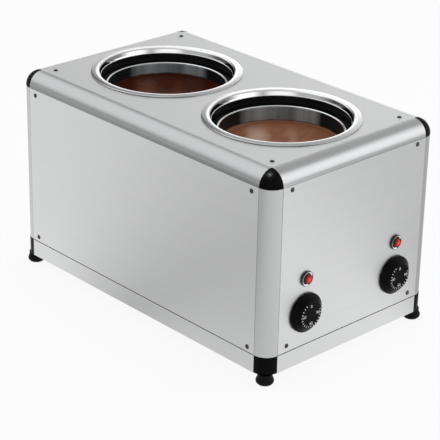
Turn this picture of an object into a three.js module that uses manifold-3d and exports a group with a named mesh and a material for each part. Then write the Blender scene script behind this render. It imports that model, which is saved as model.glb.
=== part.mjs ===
// A counter-top chocolate melter with two round pots standing one behind the other.
// Lengths are millimetres and +Z is up. The origin is the middle of the footprint at floor level,
// the knobs face -Y, and the long side runs along Y.
import * as THREE from 'three';
import { mergeVertices } from 'three/addons/utils/BufferGeometryUtils.js';
import Module from 'manifold-3d';

const wasm = await Module();
wasm.setup();

// Overall height and the steel left round the collars, from which the width of 310 and the length
// of 510 across the black corner pieces follow
const HEIGHT = 300; // floor to the crest of the pot collars
const SIDE_LAND = 25.6; // top panel beside a collar
const END_LAND = 10.1; // top panel between a collar and the front or rear edge
const MIDDLE_LAND = 16; // top panel between the two collars
const FIT_GAP = 0.3; // between pieces that touch
const CUT_OVERRUN = 2; // how far every cutter runs past what it cuts
const SNAP = 0.0001; // vertices are rounded to this

// Casing
const SHEET = 1.2; // steel sheet of the panels, the tray and the wells
const EDGE_RADIUS = 21.5; // outside of the rounded aluminium profiles
const CORNER_PROUD = 0.4; // black corner pieces stand this far out of the profiles
const PROFILE_WALL = 2;
const FLANGE_WIDTH = 18.5; // part of a profile that lies behind a panel
const PORT_OFFSET = 9.6; // screw port from the middle of the arc, along both legs
const PORT_RADIUS = 5;
const PORT_BORE = 2.1;
const PORT_WEB = 2.4;
const KEY_LENGTH = 10; // key of a corner piece inside a profile
const KEY_INSET = 1.5;
const TRAY_BOTTOM = 15.5;
const TRAY_TOP = 41; // seam between the tray's skirt and the panels
const TRAY_SEAM = 0.6;
const TRAY_LIP_HEIGHT = 12; // rises behind the panels
const TRAY_LIP_ROOT = 6;
const VENT_WIDTH = 5;
const VENT_LENGTH = 46;
const VENT_PITCH = 17;
const VENT_COUNT = 5; // slots in a row
const VENT_ROW_Y = 115; // rows of slots under the two wells

// Feet
const PLUG_BEVEL = 1.6;
const FOOT_BELLY_RADIUS = 12.2;
const FOOT_BELLY_HEIGHT = 4.8;
const FOOT_BASE_RADIUS = 9.4;
const FOOT_NECK_RADIUS = 10.2;
const FOOT_NECK_HEIGHT = 11.5;
const STUD_RADIUS = 3;
const STUD_LENGTH = 12;

// Wells
const COLLAR_RISE = 2; // crest of a collar above the top panel
const COLLAR_WIDTH = 13.5;
const COLLAR_EDGE = 0.8; // thickness at the outer edge
const COLLAR_ROLL = 5; // from the clear opening out to the crest
const COLLAR_THICKNESS = 0.8;
const COLLAR_FOOT_WIDTH = 3.5; // solid outer edge that rests on the top panel
const COLLAR_DEPTH = 1.6; // end of the roll below the top panel
const COLLAR_LIP = 4.6; // upright lip below the roll, inside the wall of the well
const MOUTH_CLEARANCE = 5.5; // between the pot's rim and the collar
const WELL_FLANGE = 0.8; // thickness of the flange under the top panel
const WELL_FLANGE_WIDTH = 2.4;
const DRUM_CLEARANCE = 2.5; // round the pot's wall
const DRUM_CORNER = 8;
const DRUM_FLOOR_GAP = 5; // air between a pot and the floor of its well
const HOLE_CLEARANCE = 1.1; // round the shafts and outside the walls of the wells
const RETAINER_WIDTH = 9;
const RETAINER_THICKNESS = 2.5;

// Pots
const POT_SINK = 16.5; // rim below the top panel
const POT_HEIGHT = 150;
const POT_RADIUS = 84.5;
const POT_RIM_WIDTH = 4; // out of the pot's wall
const POT_RIM_HEIGHT = 5;
const POT_RIM_EDGE = 3;
const POT_WALL = 1.3;
const POT_CORNER = 14;
const FRONT_FILL_SINK = 39; // chocolate below the top panel
const REAR_FILL_SINK = 34.5;

// Heaters
const HEATER_THICKNESS = 3.5;
const HEATER_HEIGHT = 60;
const HEATER_DROP = 60; // top edge below the ledge of the well
const HEATER_SPLIT = 10;
const CLAMP_LUG_REACH = 12;
const CLAMP_LUG_THICKNESS = 2.4;
const CLAMP_LUG_HEIGHT = 16;
const CLAMP_BOLT_RADIUS = 2;

// Controls on the front
const CONTROL_INSET = 48.1; // from the side seam to the middle of a knob
const KNOB_Z = 89;
const KNOB_RADIUS = 27.3;
const KNOB_REACH = 11.5; // out of the front panel
const KNOB_RUNNING_GAP = 0.8;
const KNOB_RIM = 2.6;
const KNOB_FACE_RADIUS = 18.6;
const KNOB_EDGE_ROUND = 1.1;
const KNOB_WALL = 2;
const KNOB_DISH = 0.5;
const KNOB_HUB_RADIUS = 6.5;
const SHAFT_RADIUS = 3;
const SHAFT_FLAT = 0.8; // depth of the flat on the shaft
const SHAFT_SOCKET = 9; // length inside the thermostat
const LAMP_RISE = 48.5; // above the middle of the knob
const BEZEL_RIM = 1.7;
const BEZEL_HEIGHT = 3.2;
const BEZEL_LIP = 0.9;
const BEZEL_CLEARANCE = 0.9; // round the points of the lens
const BEZEL_SEAT = 1.2; // floor of the bezel above the panel
const BEZEL_NECK_RADIUS = 6;
const BEZEL_NECK_BORE = 4.4;
const BEZEL_NECK_LENGTH = 9;
const LENS_RADIUS = 8; // over the points of the hexagon
const LENS_TABLE_SHARE = 0.6; // flat face against the whole hexagon
const LENS_HEIGHT = 4.2;
const LENS_BAND = 1.2;
const LAMP_BODY_RADIUS = 7.5;
const LAMP_BODY_LENGTH = 24;
const TAB_WIDTH = 4.8;
const TAB_THICKNESS = 0.8;
const TAB_LENGTH = 9;

// Thermostats
const THERMO_WIDTH = 42;
const THERMO_HEIGHT = 30;
const THERMO_DEPTH = 20;
const THERMO_CUP_RADIUS = 11;
const THERMO_CUP_DEPTH = 6;
const THERMO_TAB_SPREAD = 12;
const CAPILLARY_RADIUS = 1.1;
const BULB_RADIUS = 3;
const BULB_LENGTH = 80;
const BULB_X = 30;
const CAPILLARY_DROP = 19.4; // level run below the wells
const CAPILLARY_BEND = 21.5;

// Mains side
const GLAND_INSET = 38.1; // from the side seam to the middle of the gland
const GLAND_RISE = 7; // locknut above the lip of the tray
const GLAND_FLANGE_RADIUS = 11;
const GLAND_FLANGE_HEIGHT = 5;
const GLAND_DOME_RADIUS = 9;
const GLAND_TIP_RADIUS = 6.6;
const GLAND_REACH = 11.5;
const GLAND_BORE = 3.8;
const GLAND_NECK_RADIUS = 7.6;
const GLAND_NECK_LENGTH = 11;
const LOCKNUT_RADIUS = 12;
const LOCKNUT_THICKNESS = 4.5;
const BLOCK_WIDTH = 62;
const BLOCK_DEPTH = 22;
const BLOCK_BASE_HEIGHT = 9;
const BLOCK_TOP_HEIGHT = 17;
const BLOCK_RIDGE_DEPTH = 12;
const BLOCK_WAYS = 4;
const BLOCK_WIRE_RADIUS = 2.2;
const BLOCK_INSET = 43.1; // from the side seam to the middle of the block
const BLOCK_WALL_GAP = 26; // from the rear panel

// Facets round a full circle, and round a quarter of the edge profile
const LARGE_FACETS = 30;
const MIDDLE_FACETS = 16;
const SMALL_FACETS = 12;
const QUARTER_FACETS = 8;

// Sizes that follow from the pot outwards
const POT_RIM_RADIUS = POT_RADIUS + POT_RIM_WIDTH;
const DRUM_RADIUS = POT_RADIUS + DRUM_CLEARANCE;
const MOUTH_RADIUS = POT_RIM_RADIUS + MOUTH_CLEARANCE; // clear opening inside a collar
const COLLAR_CREST_RADIUS = MOUTH_RADIUS + COLLAR_ROLL;
const COLLAR_RADIUS = MOUTH_RADIUS + COLLAR_WIDTH;
const WELL_Y = COLLAR_RADIUS + MIDDLE_LAND / 2; // middle of the rear well

// Places that several pieces share
const ARC_X = COLLAR_RADIUS + SIDE_LAND; // middles of the rounded edges, level with the seams
const ARC_Y = WELL_Y + COLLAR_RADIUS + END_LAND;
const TOP_Z = HEIGHT - COLLAR_RISE;
const ARC_Z = TOP_Z - EDGE_RADIUS;
const FACE_X = ARC_X + EDGE_RADIUS; // outer faces of the side panels
const FACE_Y = ARC_Y + EDGE_RADIUS;
const SEAT = EDGE_RADIUS - SHEET - FIT_GAP; // outer side of a flange, from the middle of the arc
const BACK = SEAT - PROFILE_WALL; // inner side of a flange
const INSIDE_Y = FACE_Y - SHEET; // inner face of the front and rear panels
const RIM_Z = TOP_Z - POT_SINK;
const LEDGE_Z = RIM_Z - POT_RIM_HEIGHT - FIT_GAP;
const POT_FLOOR_Z = RIM_Z - POT_HEIGHT;
const WELL_FLOOR_Z = POT_FLOOR_Z - DRUM_FLOOR_GAP;
const WELL_RADIUS = MOUTH_RADIUS + COLLAR_THICKNESS + FIT_GAP;
const WELL_TOP_Z = TOP_Z - SHEET - FIT_GAP; // flanges of the wells under the top panel
const DRUM_OUTER = DRUM_RADIUS + SHEET;
const CONTROL_X = ARC_X - CONTROL_INSET;
const LAMP_Z = KNOB_Z + LAMP_RISE;
const BEZEL_MOUTH_RADIUS = LENS_RADIUS + BEZEL_CLEARANCE;
const BEZEL_RADIUS = BEZEL_MOUTH_RADIUS + BEZEL_RIM;
const GLAND_X = GLAND_INSET - ARC_X;
const GLAND_Z = TRAY_TOP + TRAY_LIP_HEIGHT + GLAND_RISE + LOCKNUT_RADIUS;
const TRAY_FLOOR_Z = TRAY_BOTTOM + SHEET;

// Finishes as seen on the machine
const FINISHES = {
  brushedSteel: { color: 0xc9cbcc, roughness: 0.38, metalness: 0.9 },
  satinAluminium: { color: 0xd4d6d7, roughness: 0.3, metalness: 0.9 },
  polishedSteel: { color: 0xdfe1e2, roughness: 0.12, metalness: 1 },
  blackEnamel: { color: 0x0e0e0f, roughness: 0.35, metalness: 0 },
  potSteel: { color: 0x8d9092, roughness: 0.28, metalness: 0.9 },
  blackPlastic: { color: 0x111112, roughness: 0.42, metalness: 0 },
  rubber: { color: 0x0d0d0d, roughness: 0.65, metalness: 0 },
  milkChocolate: { color: 0x7a4a33, roughness: 0.2, metalness: 0 },
  darkChocolate: { color: 0x3c1a10, roughness: 0.18, metalness: 0 },
  redLens: { color: 0xd8262a, roughness: 0.15, metalness: 0 },
  chrome: { color: 0xe6e8ea, roughness: 0.08, metalness: 1 },
  zincSteel: { color: 0xb4b8b8, roughness: 0.35, metalness: 0.9 },
  lampPlastic: { color: 0xe8e6df, roughness: 0.5, metalness: 0 },
  brownPlastic: { color: 0x3a2a20, roughness: 0.5, metalness: 0 },
  copper: { color: 0xb8714a, roughness: 0.3, metalness: 1 },
};

const machine = new THREE.Group();

// A closed geometry becomes a solid: its vertices are shared and rounded, and triangles with no
// area are left out.
function solidOf(geometry) {
  const bare = geometry.clone();
  bare.deleteAttribute('normal');
  bare.deleteAttribute('uv');
  const merged = mergeVertices(bare);
  const corners = merged.index.array;
  const triangles = [];
  for (let i = 0; i < corners.length; i += 3) {
    const [a, b, c] = [corners[i], corners[i + 1], corners[i + 2]];
    if (a !== b && b !== c && c !== a) triangles.push(a, b, c);
  }
  const mesh = new wasm.Mesh({
    numProp: 3,
    vertProperties: Float32Array.from(merged.attributes.position.array, (v) => Math.round(v / SNAP) * SNAP),
    triVerts: new Uint32Array(triangles),
  });
  return new wasm.Manifold(mesh);
}

// A solid becomes a geometry that a mesh can show.
function geometryOf(solid) {
  const mesh = solid.getMesh();
  const geometry = new THREE.BufferGeometry();
  geometry.setAttribute('position', new THREE.BufferAttribute(mesh.vertProperties, 3));
  geometry.setIndex(new THREE.BufferAttribute(mesh.triVerts, 1));
  geometry.computeVertexNormals();
  return geometry;
}

// Adds one named piece of the machine, with a material of its own.
function addPiece(name, solid, finish, place = [0, 0, 0], turn = [0, 0, 0]) {
  const mesh = new THREE.Mesh(geometryOf(solid), new THREE.MeshStandardMaterial(FINISHES[finish]));
  mesh.name = name;
  mesh.position.set(...place);
  mesh.rotation.set(...turn);
  machine.add(mesh);
}

// A box between two opposite corners.
function box(low, high) {
  const size = high.map((value, i) => value - low[i]);
  const middle = high.map((value, i) => (value + low[i]) / 2);
  return solidOf(new THREE.BoxGeometry(...size).translate(...middle));
}

// A round bar along Z from one height to another.
function bar(radius, low, high, facets = SMALL_FACETS) {
  const geometry = new THREE.CylinderGeometry(radius, radius, high - low, facets);
  return solidOf(geometry.rotateX(Math.PI / 2).translate(0, 0, (high + low) / 2));
}

// An outline pushed up along Z from one height to another.
function prism(shape, low, high, facets = QUARTER_FACETS / 2) {
  const depth = high - low;
  const options = { depth, bevelEnabled: false, curveSegments: facets };
  return solidOf(new THREE.ExtrudeGeometry(shape, options).translate(0, 0, low));
}

// A profile of [radius, height] points turned about Z. It runs from the bottom to the top outside.
function turned(profile, facets) {
  const points = profile.map(([radius, height]) => new THREE.Vector2(radius, height));
  return solidOf(new THREE.LatheGeometry(points, facets).rotateX(Math.PI / 2));
}

// Points of a quarter ellipse round a middle, from one angle to another.
function arcPoints(middle, radii, from, to, count) {
  const points = [];
  for (let i = 0; i <= count; i += 1) {
    const angle = from + ((to - from) * i) / count;
    points.push([middle[0] + radii[0] * Math.cos(angle), middle[1] + radii[1] * Math.sin(angle)]);
  }
  return points;
}

// Section of the edge profile: a quarter round with a flange behind each of the two panels.
// The middle of the arc is the origin, and the round side faces +x and +y.
function profileSection() {
  const inner = EDGE_RADIUS - PROFILE_WALL;
  const meeting = Math.acos(BACK / inner);
  const section = new THREE.Shape();
  section.moveTo(EDGE_RADIUS, 0);
  section.absarc(0, 0, EDGE_RADIUS, 0, Math.PI / 2, false);
  section.lineTo(0, SEAT);
  section.lineTo(-FLANGE_WIDTH, SEAT);
  section.lineTo(-FLANGE_WIDTH, BACK);
  section.lineTo(inner * Math.sin(meeting), BACK);
  section.absarc(0, 0, inner, Math.PI / 2 - meeting, meeting, true);
  section.lineTo(BACK, -FLANGE_WIDTH);
  section.lineTo(SEAT, -FLANGE_WIDTH);
  section.lineTo(SEAT, 0);
  return section;
}

// A length of edge profile along Z, with the screw port that its end pieces are fixed to.
function profileLength(length) {
  const port = bar(PORT_RADIUS, 0, length).translate(PORT_OFFSET, PORT_OFFSET, 0);
  const bore = bar(PORT_BORE, -CUT_OVERRUN, length + CUT_OVERRUN, SMALL_FACETS / 2);
  const webFoot = PORT_OFFSET * Math.SQRT2;
  const web = box([webFoot, -PORT_WEB / 2, 0], [EDGE_RADIUS - PROFILE_WALL / 2, PORT_WEB / 2, length]);
  const section = prism(profileSection(), 0, length).add(port).add(web.rotate([0, 0, 45]));
  return section.subtract(bore.translate(PORT_OFFSET, PORT_OFFSET, 0));
}

// Cuts the flange that lies along +y off a profile, between two heights.
function cutFlange(profile, low, high) {
  const left = -FLANGE_WIDTH - CUT_OVERRUN;
  return profile.subtract(box([left, BACK - CUT_OVERRUN, low], [0, SEAT + CUT_OVERRUN, high]));
}

// The same shape with its two legs exchanged.
function swapLegs(solid) {
  return solid.mirror([1, -1, 0]);
}

// An upright post: both flanges stop below the flanges of the top rails.
function post() {
  const length = ARC_Z - TRAY_TOP - 2 * FIT_GAP;
  const notch = length - FLANGE_WIDTH;
  const oneSide = cutFlange(profileLength(length), notch, length + CUT_OVERRUN);
  return cutFlange(swapLegs(oneSide), notch, length + CUT_OVERRUN);
}

// The L-shaped key with which a corner piece fits inside the end of a profile.
function endKey(length) {
  const far = BACK - FIT_GAP;
  const near = PORT_OFFSET - PORT_RADIUS - FIT_GAP;
  const leg = box([KEY_INSET, KEY_INSET, 0], [far, near, length]);
  return leg.add(box([KEY_INSET, KEY_INSET, 0], [near, far, length]));
}

// A black top corner: an eighth of a ball with a key into each of the three profiles.
// Its middle is the origin, and the round side faces +x, +y and +z.
function topCorner() {
  const radius = EDGE_RADIUS + CORNER_PROUD;
  const ball = new THREE.SphereGeometry(radius, 4 * QUARTER_FACETS, 2 * QUARTER_FACETS);
  const reach = radius + CUT_OVERRUN;
  const eighth = solidOf(ball).intersect(box([0, 0, 0], [reach, reach, reach]));
  const rootedKey = endKey(KEY_LENGTH + PROFILE_WALL).translate(0, 0, -KEY_LENGTH);
  return eighth
    .add(rootedKey)
    .add(rootedKey.rotate([0, 90, 0]).mirror([0, 0, 1]))
    .add(rootedKey.rotate([-90, 0, 0]).mirror([0, 0, 1]));
}

// A black plug that closes the bottom of a post and carries a foot.
function footPlug() {
  const radius = EDGE_RADIUS + CORNER_PROUD;
  const quarter = new THREE.Shape();
  quarter.moveTo(0, 0);
  quarter.lineTo(radius, 0);
  quarter.absarc(0, 0, radius, 0, Math.PI / 2, false);
  quarter.lineTo(0, 0);
  const options = {
    depth: TRAY_TOP - TRAY_BOTTOM,
    bevelThickness: PLUG_BEVEL,
    bevelSize: PLUG_BEVEL,
    bevelOffset: -PLUG_BEVEL,
    bevelSegments: 2,
    curveSegments: QUARTER_FACETS / 2,
  };
  const rounded = new THREE.ExtrudeGeometry(quarter, options).translate(0, 0, TRAY_BOTTOM + PLUG_BEVEL);
  const height = [radius + CUT_OVERRUN, radius + CUT_OVERRUN, TRAY_TOP];
  const column = solidOf(rounded).intersect(box([-CUT_OVERRUN, -CUT_OVERRUN, 0], height));
  const socket = bar(STUD_RADIUS + FIT_GAP, 0, TRAY_BOTTOM + STUD_LENGTH + FIT_GAP);
  const key = endKey(KEY_LENGTH + PROFILE_WALL).translate(0, 0, TRAY_TOP - PROFILE_WALL);
  return column.add(key).subtract(socket.translate(PORT_OFFSET, PORT_OFFSET, 0));
}

// A rubber foot: a flat base, a round belly, a neck, and the stud that holds it in its plug.
function rubberFoot() {
  const top = TRAY_BOTTOM - FIT_GAP;
  const side = new THREE.SplineCurve([
    new THREE.Vector2(FOOT_BASE_RADIUS, 0),
    new THREE.Vector2(FOOT_BELLY_RADIUS, FOOT_BELLY_HEIGHT),
    new THREE.Vector2(FOOT_NECK_RADIUS, FOOT_NECK_HEIGHT),
    new THREE.Vector2(FOOT_NECK_RADIUS, top),
  ]);
  const outline = side.getPoints(QUARTER_FACETS - 2).map((point) => [point.x, point.y]);
  const studTop = TRAY_BOTTOM + STUD_LENGTH;
  return turned([[0, 0], ...outline, [STUD_RADIUS, top], [STUD_RADIUS, studTop], [0, studTop]], SMALL_FACETS);
}

// The four corners, each with the quarter turn that points its round side outwards.
const CORNERS = [
  { name: 'rear_right', x: 1, y: 1, turn: 0 },
  { name: 'rear_left', x: -1, y: 1, turn: Math.PI / 2 },
  { name: 'front_left', x: -1, y: -1, turn: Math.PI },
  { name: 'front_right', x: 1, y: -1, turn: -Math.PI / 2 },
];

function addCorners() {
  const postSolid = post();
  const cornerSolid = topCorner();
  const plugSolid = footPlug();
  const footSolid = rubberFoot();
  const footX = ARC_X + PORT_OFFSET;
  const footY = ARC_Y + PORT_OFFSET;
  for (const { name, x, y, turn } of CORNERS) {
    const arc = [x * ARC_X, y * ARC_Y];
    addPiece(`post_${name}`, postSolid, 'satinAluminium', [...arc, TRAY_TOP + FIT_GAP], [0, 0, turn]);
    addPiece(`top_corner_${name}`, cornerSolid, 'blackPlastic', [...arc, ARC_Z], [0, 0, turn]);
    addPiece(`foot_plug_${name}`, plugSolid, 'blackPlastic', [...arc, 0], [0, 0, turn]);
    addPiece(`rubber_foot_${name}`, footSolid, 'rubber', [x * footX, y * footY, 0]);
  }
}

// The four top rails. Those across the front and rear stop their upper flange at the long ones.
function addTopRails() {
  const longLength = 2 * (ARC_Y - FIT_GAP);
  const shortLength = 2 * (ARC_X - FIT_GAP);
  const longRail = profileLength(longLength).translate(0, 0, -longLength / 2).rotate([90, 0, 0]);
  const shortEnd = shortLength - FLANGE_WIDTH;
  const notched = cutFlange(
    cutFlange(profileLength(shortLength), -CUT_OVERRUN, FLANGE_WIDTH),
    shortEnd,
    shortLength + CUT_OVERRUN,
  );
  const shortRail = notched.translate(0, 0, -shortLength / 2).rotate([90, 0, 0]);
  const quarter = Math.PI / 2;
  addPiece('top_rail_right', longRail, 'satinAluminium', [ARC_X, 0, ARC_Z]);
  addPiece('top_rail_left', longRail, 'satinAluminium', [-ARC_X, 0, ARC_Z], [0, 0, 2 * quarter]);
  addPiece('top_rail_rear', shortRail, 'satinAluminium', [0, ARC_Y, ARC_Z], [0, 0, quarter]);
  addPiece('top_rail_front', shortRail, 'satinAluminium', [0, -ARC_Y, ARC_Z], [0, 0, -quarter]);
}

// A flat upright panel facing -Y, centred on x = 0, with round holes at [x, z, radius].
function uprightPanel(halfWidth, holes) {
  const low = TRAY_TOP + TRAY_SEAM;
  let panel = box([-halfWidth, 0, low], [halfWidth, SHEET, ARC_Z - FIT_GAP]);
  for (const [x, z, radius] of holes) {
    const cutter = bar(radius, -CUT_OVERRUN, SHEET + CUT_OVERRUN, MIDDLE_FACETS).rotate([-90, 0, 0]);
    panel = panel.subtract(cutter.translate(x, 0, z));
  }
  return panel;
}

function addPanels() {
  const halfX = ARC_X - FIT_GAP;
  const halfY = ARC_Y - FIT_GAP;
  const shaftHole = SHAFT_RADIUS + HOLE_CLEARANCE;
  const lampHole = BEZEL_NECK_RADIUS + FIT_GAP;
  const frontHoles = [
    [-CONTROL_X, KNOB_Z, shaftHole],
    [CONTROL_X, KNOB_Z, shaftHole],
    [-CONTROL_X, LAMP_Z, lampHole],
    [CONTROL_X, LAMP_Z, lampHole],
  ];
  const glandHole = [-GLAND_X, GLAND_Z, GLAND_NECK_RADIUS + FIT_GAP];
  const sidePanel = uprightPanel(halfY, []);
  const quarter = Math.PI / 2;
  addPiece('front_panel', uprightPanel(halfX, frontHoles), 'brushedSteel', [0, -FACE_Y, 0]);
  addPiece('rear_panel', uprightPanel(halfX, [glandHole]), 'brushedSteel', [0, FACE_Y, 0], [0, 0, 2 * quarter]);
  addPiece('right_panel', sidePanel, 'brushedSteel', [FACE_X, 0, 0], [0, 0, quarter]);
  addPiece('left_panel', sidePanel, 'brushedSteel', [-FACE_X, 0, 0], [0, 0, -quarter]);

  let top = box([-halfX, -halfY, TOP_Z - SHEET], [halfX, halfY, TOP_Z]);
  const wellHole = WELL_RADIUS + HOLE_CLEARANCE;
  for (const y of [-WELL_Y, WELL_Y]) {
    const cutter = bar(wellHole, TOP_Z - SHEET - CUT_OVERRUN, TOP_Z + CUT_OVERRUN, LARGE_FACETS);
    top = top.subtract(cutter.translate(0, y, 0));
  }
  addPiece('top_panel', top, 'brushedSteel');
}

// A slot with round ends along X, centred on the origin, through the tray's floor.
function ventCutter() {
  const straight = (VENT_LENGTH - VENT_WIDTH) / 2;
  const slot = new THREE.Shape();
  slot.absarc(straight, 0, VENT_WIDTH / 2, -Math.PI / 2, Math.PI / 2, false);
  slot.absarc(-straight, 0, VENT_WIDTH / 2, Math.PI / 2, (3 * Math.PI) / 2, false);
  return prism(slot, TRAY_BOTTOM - CUT_OVERRUN, TRAY_FLOOR_Z + CUT_OVERRUN, 2);
}

// The lip of the tray that stands behind one panel, along X, with the panel's face at y = 0.
function trayLip(halfWidth) {
  const outer = SHEET + FIT_GAP;
  const inner = outer + SHEET;
  const root = box([-halfWidth, SHEET / 2, TRAY_TOP - TRAY_LIP_ROOT], [halfWidth, inner, TRAY_TOP]);
  return root.add(box([-halfWidth, outer, TRAY_TOP - SHEET], [halfWidth, inner, TRAY_TOP + TRAY_LIP_HEIGHT]));
}

// The folded steel tray: floor, skirt, cut-outs for the foot plugs, lips and cooling slots.
function addTray() {
  const hollow = [FACE_X - SHEET, FACE_Y - SHEET];
  let tray = box([-FACE_X, -FACE_Y, TRAY_BOTTOM], [FACE_X, FACE_Y, TRAY_TOP]);
  tray = tray.subtract(box([-hollow[0], -hollow[1], TRAY_FLOOR_Z], [...hollow, TRAY_TOP + CUT_OVERRUN]));
  const near = [ARC_X - FIT_GAP, ARC_Y - FIT_GAP, TRAY_BOTTOM - CUT_OVERRUN];
  const far = [FACE_X + CUT_OVERRUN, FACE_Y + CUT_OVERRUN, TRAY_TOP + CUT_OVERRUN];
  const notch = box(near, far);
  for (const [turnedX, turnedY] of [[0, 0], [1, 0], [0, 1], [1, 1]]) {
    let cutter = notch;
    if (turnedX) cutter = cutter.mirror([1, 0, 0]);
    if (turnedY) cutter = cutter.mirror([0, 1, 0]);
    tray = tray.subtract(cutter);
  }
  const lipX = ARC_X - FLANGE_WIDTH - FIT_GAP;
  const lipY = ARC_Y - FLANGE_WIDTH - FIT_GAP;
  for (const quarterTurns of [0, 2]) {
    const turn = [0, 0, 90 * quarterTurns];
    tray = tray.add(trayLip(lipX).translate(0, -FACE_Y, 0).rotate(turn));
    tray = tray.add(trayLip(lipY).translate(0, -FACE_X, 0).rotate([0, 0, turn[2] + 90]));
  }
  const vent = ventCutter();
  for (const rowY of [-VENT_ROW_Y, VENT_ROW_Y]) {
    for (let i = 0; i < VENT_COUNT; i += 1) {
      const y = rowY + (i - (VENT_COUNT - 1) / 2) * VENT_PITCH;
      tray = tray.subtract(vent.translate(0, y, 0));
    }
  }
  addPiece('base_tray', tray, 'brushedSteel');
}

// Points of the well's rounded bottom corner, with a middle at one height for both its faces.
function drumCorner(radius, from, to) {
  const middle = [DRUM_RADIUS - DRUM_CORNER, WELL_FLOOR_Z + DRUM_CORNER];
  return arcPoints(middle, [radius, radius], from, to, 2);
}

// A pressed well about Z: drum, ledge for the pot's rim, upper wall and a flange under the top panel.
function well() {
  const outer = WELL_RADIUS + SHEET;
  const under = WELL_TOP_Z - WELL_FLANGE;
  return turned([
    [0, WELL_FLOOR_Z - SHEET],
    ...drumCorner(DRUM_CORNER + SHEET, -Math.PI / 2, 0),
    [DRUM_OUTER, LEDGE_Z - SHEET],
    [outer, LEDGE_Z - SHEET],
    [outer, under],
    [outer + WELL_FLANGE_WIDTH, under],
    [outer + WELL_FLANGE_WIDTH, WELL_TOP_Z],
    [WELL_RADIUS, WELL_TOP_Z],
    [WELL_RADIUS, LEDGE_Z],
    [DRUM_RADIUS, LEDGE_Z],
    ...drumCorner(DRUM_CORNER, 0, -Math.PI / 2),
    [0, WELL_FLOOR_Z],
  ], LARGE_FACETS);
}

// The polished collar about Z: it covers the hole's edge, rises to a crest and rolls down inwards.
function collar() {
  const foot = TOP_Z + FIT_GAP;
  const edge = foot + COLLAR_EDGE;
  const end = TOP_Z - COLLAR_DEPTH;
  const lip = end - COLLAR_LIP;
  const under = HEIGHT - COLLAR_THICKNESS;
  const middle = [COLLAR_CREST_RADIUS, end];
  const slope = [COLLAR_RADIUS - COLLAR_CREST_RADIUS, HEIGHT - edge];
  const roll = [COLLAR_ROLL, HEIGHT - end];
  const inside = [COLLAR_ROLL - COLLAR_THICKNESS, under - end];
  return turned([
    [COLLAR_CREST_RADIUS - inside[0], lip],
    ...arcPoints(middle, inside, Math.PI, Math.PI / 2, 2),
    [COLLAR_RADIUS - COLLAR_FOOT_WIDTH, foot],
    [COLLAR_RADIUS, foot],
    [COLLAR_RADIUS, edge],
    ...arcPoints([COLLAR_CREST_RADIUS, edge], slope, Math.PI / 12, Math.PI / 2, 1),
    ...arcPoints(middle, roll, Math.PI / 2, Math.PI, 2).slice(1),
    [MOUTH_RADIUS, lip],
    [COLLAR_CREST_RADIUS - inside[0], lip],
  ], LARGE_FACETS);
}

// The ring that clamps a well up against the top panel, cut flat beside the end rail.
function retainer(side) {
  const inner = WELL_RADIUS + SHEET + FIT_GAP;
  const outer = inner + RETAINER_WIDTH;
  const top = WELL_TOP_Z - WELL_FLANGE - FIT_GAP;
  const foot = top - RETAINER_THICKNESS;
  const section = [[inner, foot], [outer, foot], [outer, top], [inner, top], [inner, foot]];
  const ring = turned(section, LARGE_FACETS);
  const flat = ARC_Y - FLANGE_WIDTH - FIT_GAP - WELL_Y;
  const reach = outer + CUT_OVERRUN;
  const beyond = box([-reach, flat, foot - CUT_OVERRUN], [reach, reach, top + CUT_OVERRUN]);
  return ring.subtract(side > 0 ? beyond : beyond.mirror([0, 1, 0]));
}

// A lift-out pot about Z with a rolled rim, open at the top.
function pot() {
  const inner = POT_RADIUS - POT_WALL;
  const floor = POT_FLOOR_Z + POT_WALL;
  const turnMiddle = [POT_RADIUS - POT_CORNER, POT_FLOOR_Z + POT_CORNER];
  const innerRadii = [POT_CORNER - POT_WALL, POT_CORNER - POT_WALL];
  const edgeZ = RIM_Z - POT_RIM_EDGE;
  const crown = arcPoints([inner, edgeZ], [POT_RIM_RADIUS - inner, POT_RIM_EDGE], 0, Math.PI / 2, 2);
  return turned([
    [0, POT_FLOOR_Z],
    ...arcPoints(turnMiddle, [POT_CORNER, POT_CORNER], -Math.PI / 2, 0, 2),
    [POT_RADIUS, RIM_Z - POT_RIM_HEIGHT + POT_WALL],
    [POT_RIM_RADIUS - POT_WALL, RIM_Z - POT_RIM_HEIGHT + POT_WALL],
    [POT_RIM_RADIUS - POT_WALL, RIM_Z - POT_RIM_HEIGHT],
    [POT_RIM_RADIUS, RIM_Z - POT_RIM_HEIGHT],
    ...crown,
    ...arcPoints(turnMiddle, innerRadii, 0, -Math.PI / 2, 2),
    [0, floor],
  ], LARGE_FACETS);
}

// Melted chocolate that fills a pot about Z up to a height.
function chocolate(surface) {
  const radius = POT_RADIUS - POT_WALL - FIT_GAP;
  const corner = POT_CORNER - POT_WALL - FIT_GAP;
  const turnMiddle = [POT_RADIUS - POT_CORNER, POT_FLOOR_Z + POT_CORNER];
  return turned([
    [0, POT_FLOOR_Z + POT_WALL + FIT_GAP],
    ...arcPoints(turnMiddle, [corner, corner], -Math.PI / 2, 0, 1),
    [radius, surface],
    [0, surface],
  ], LARGE_FACETS);
}

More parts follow.
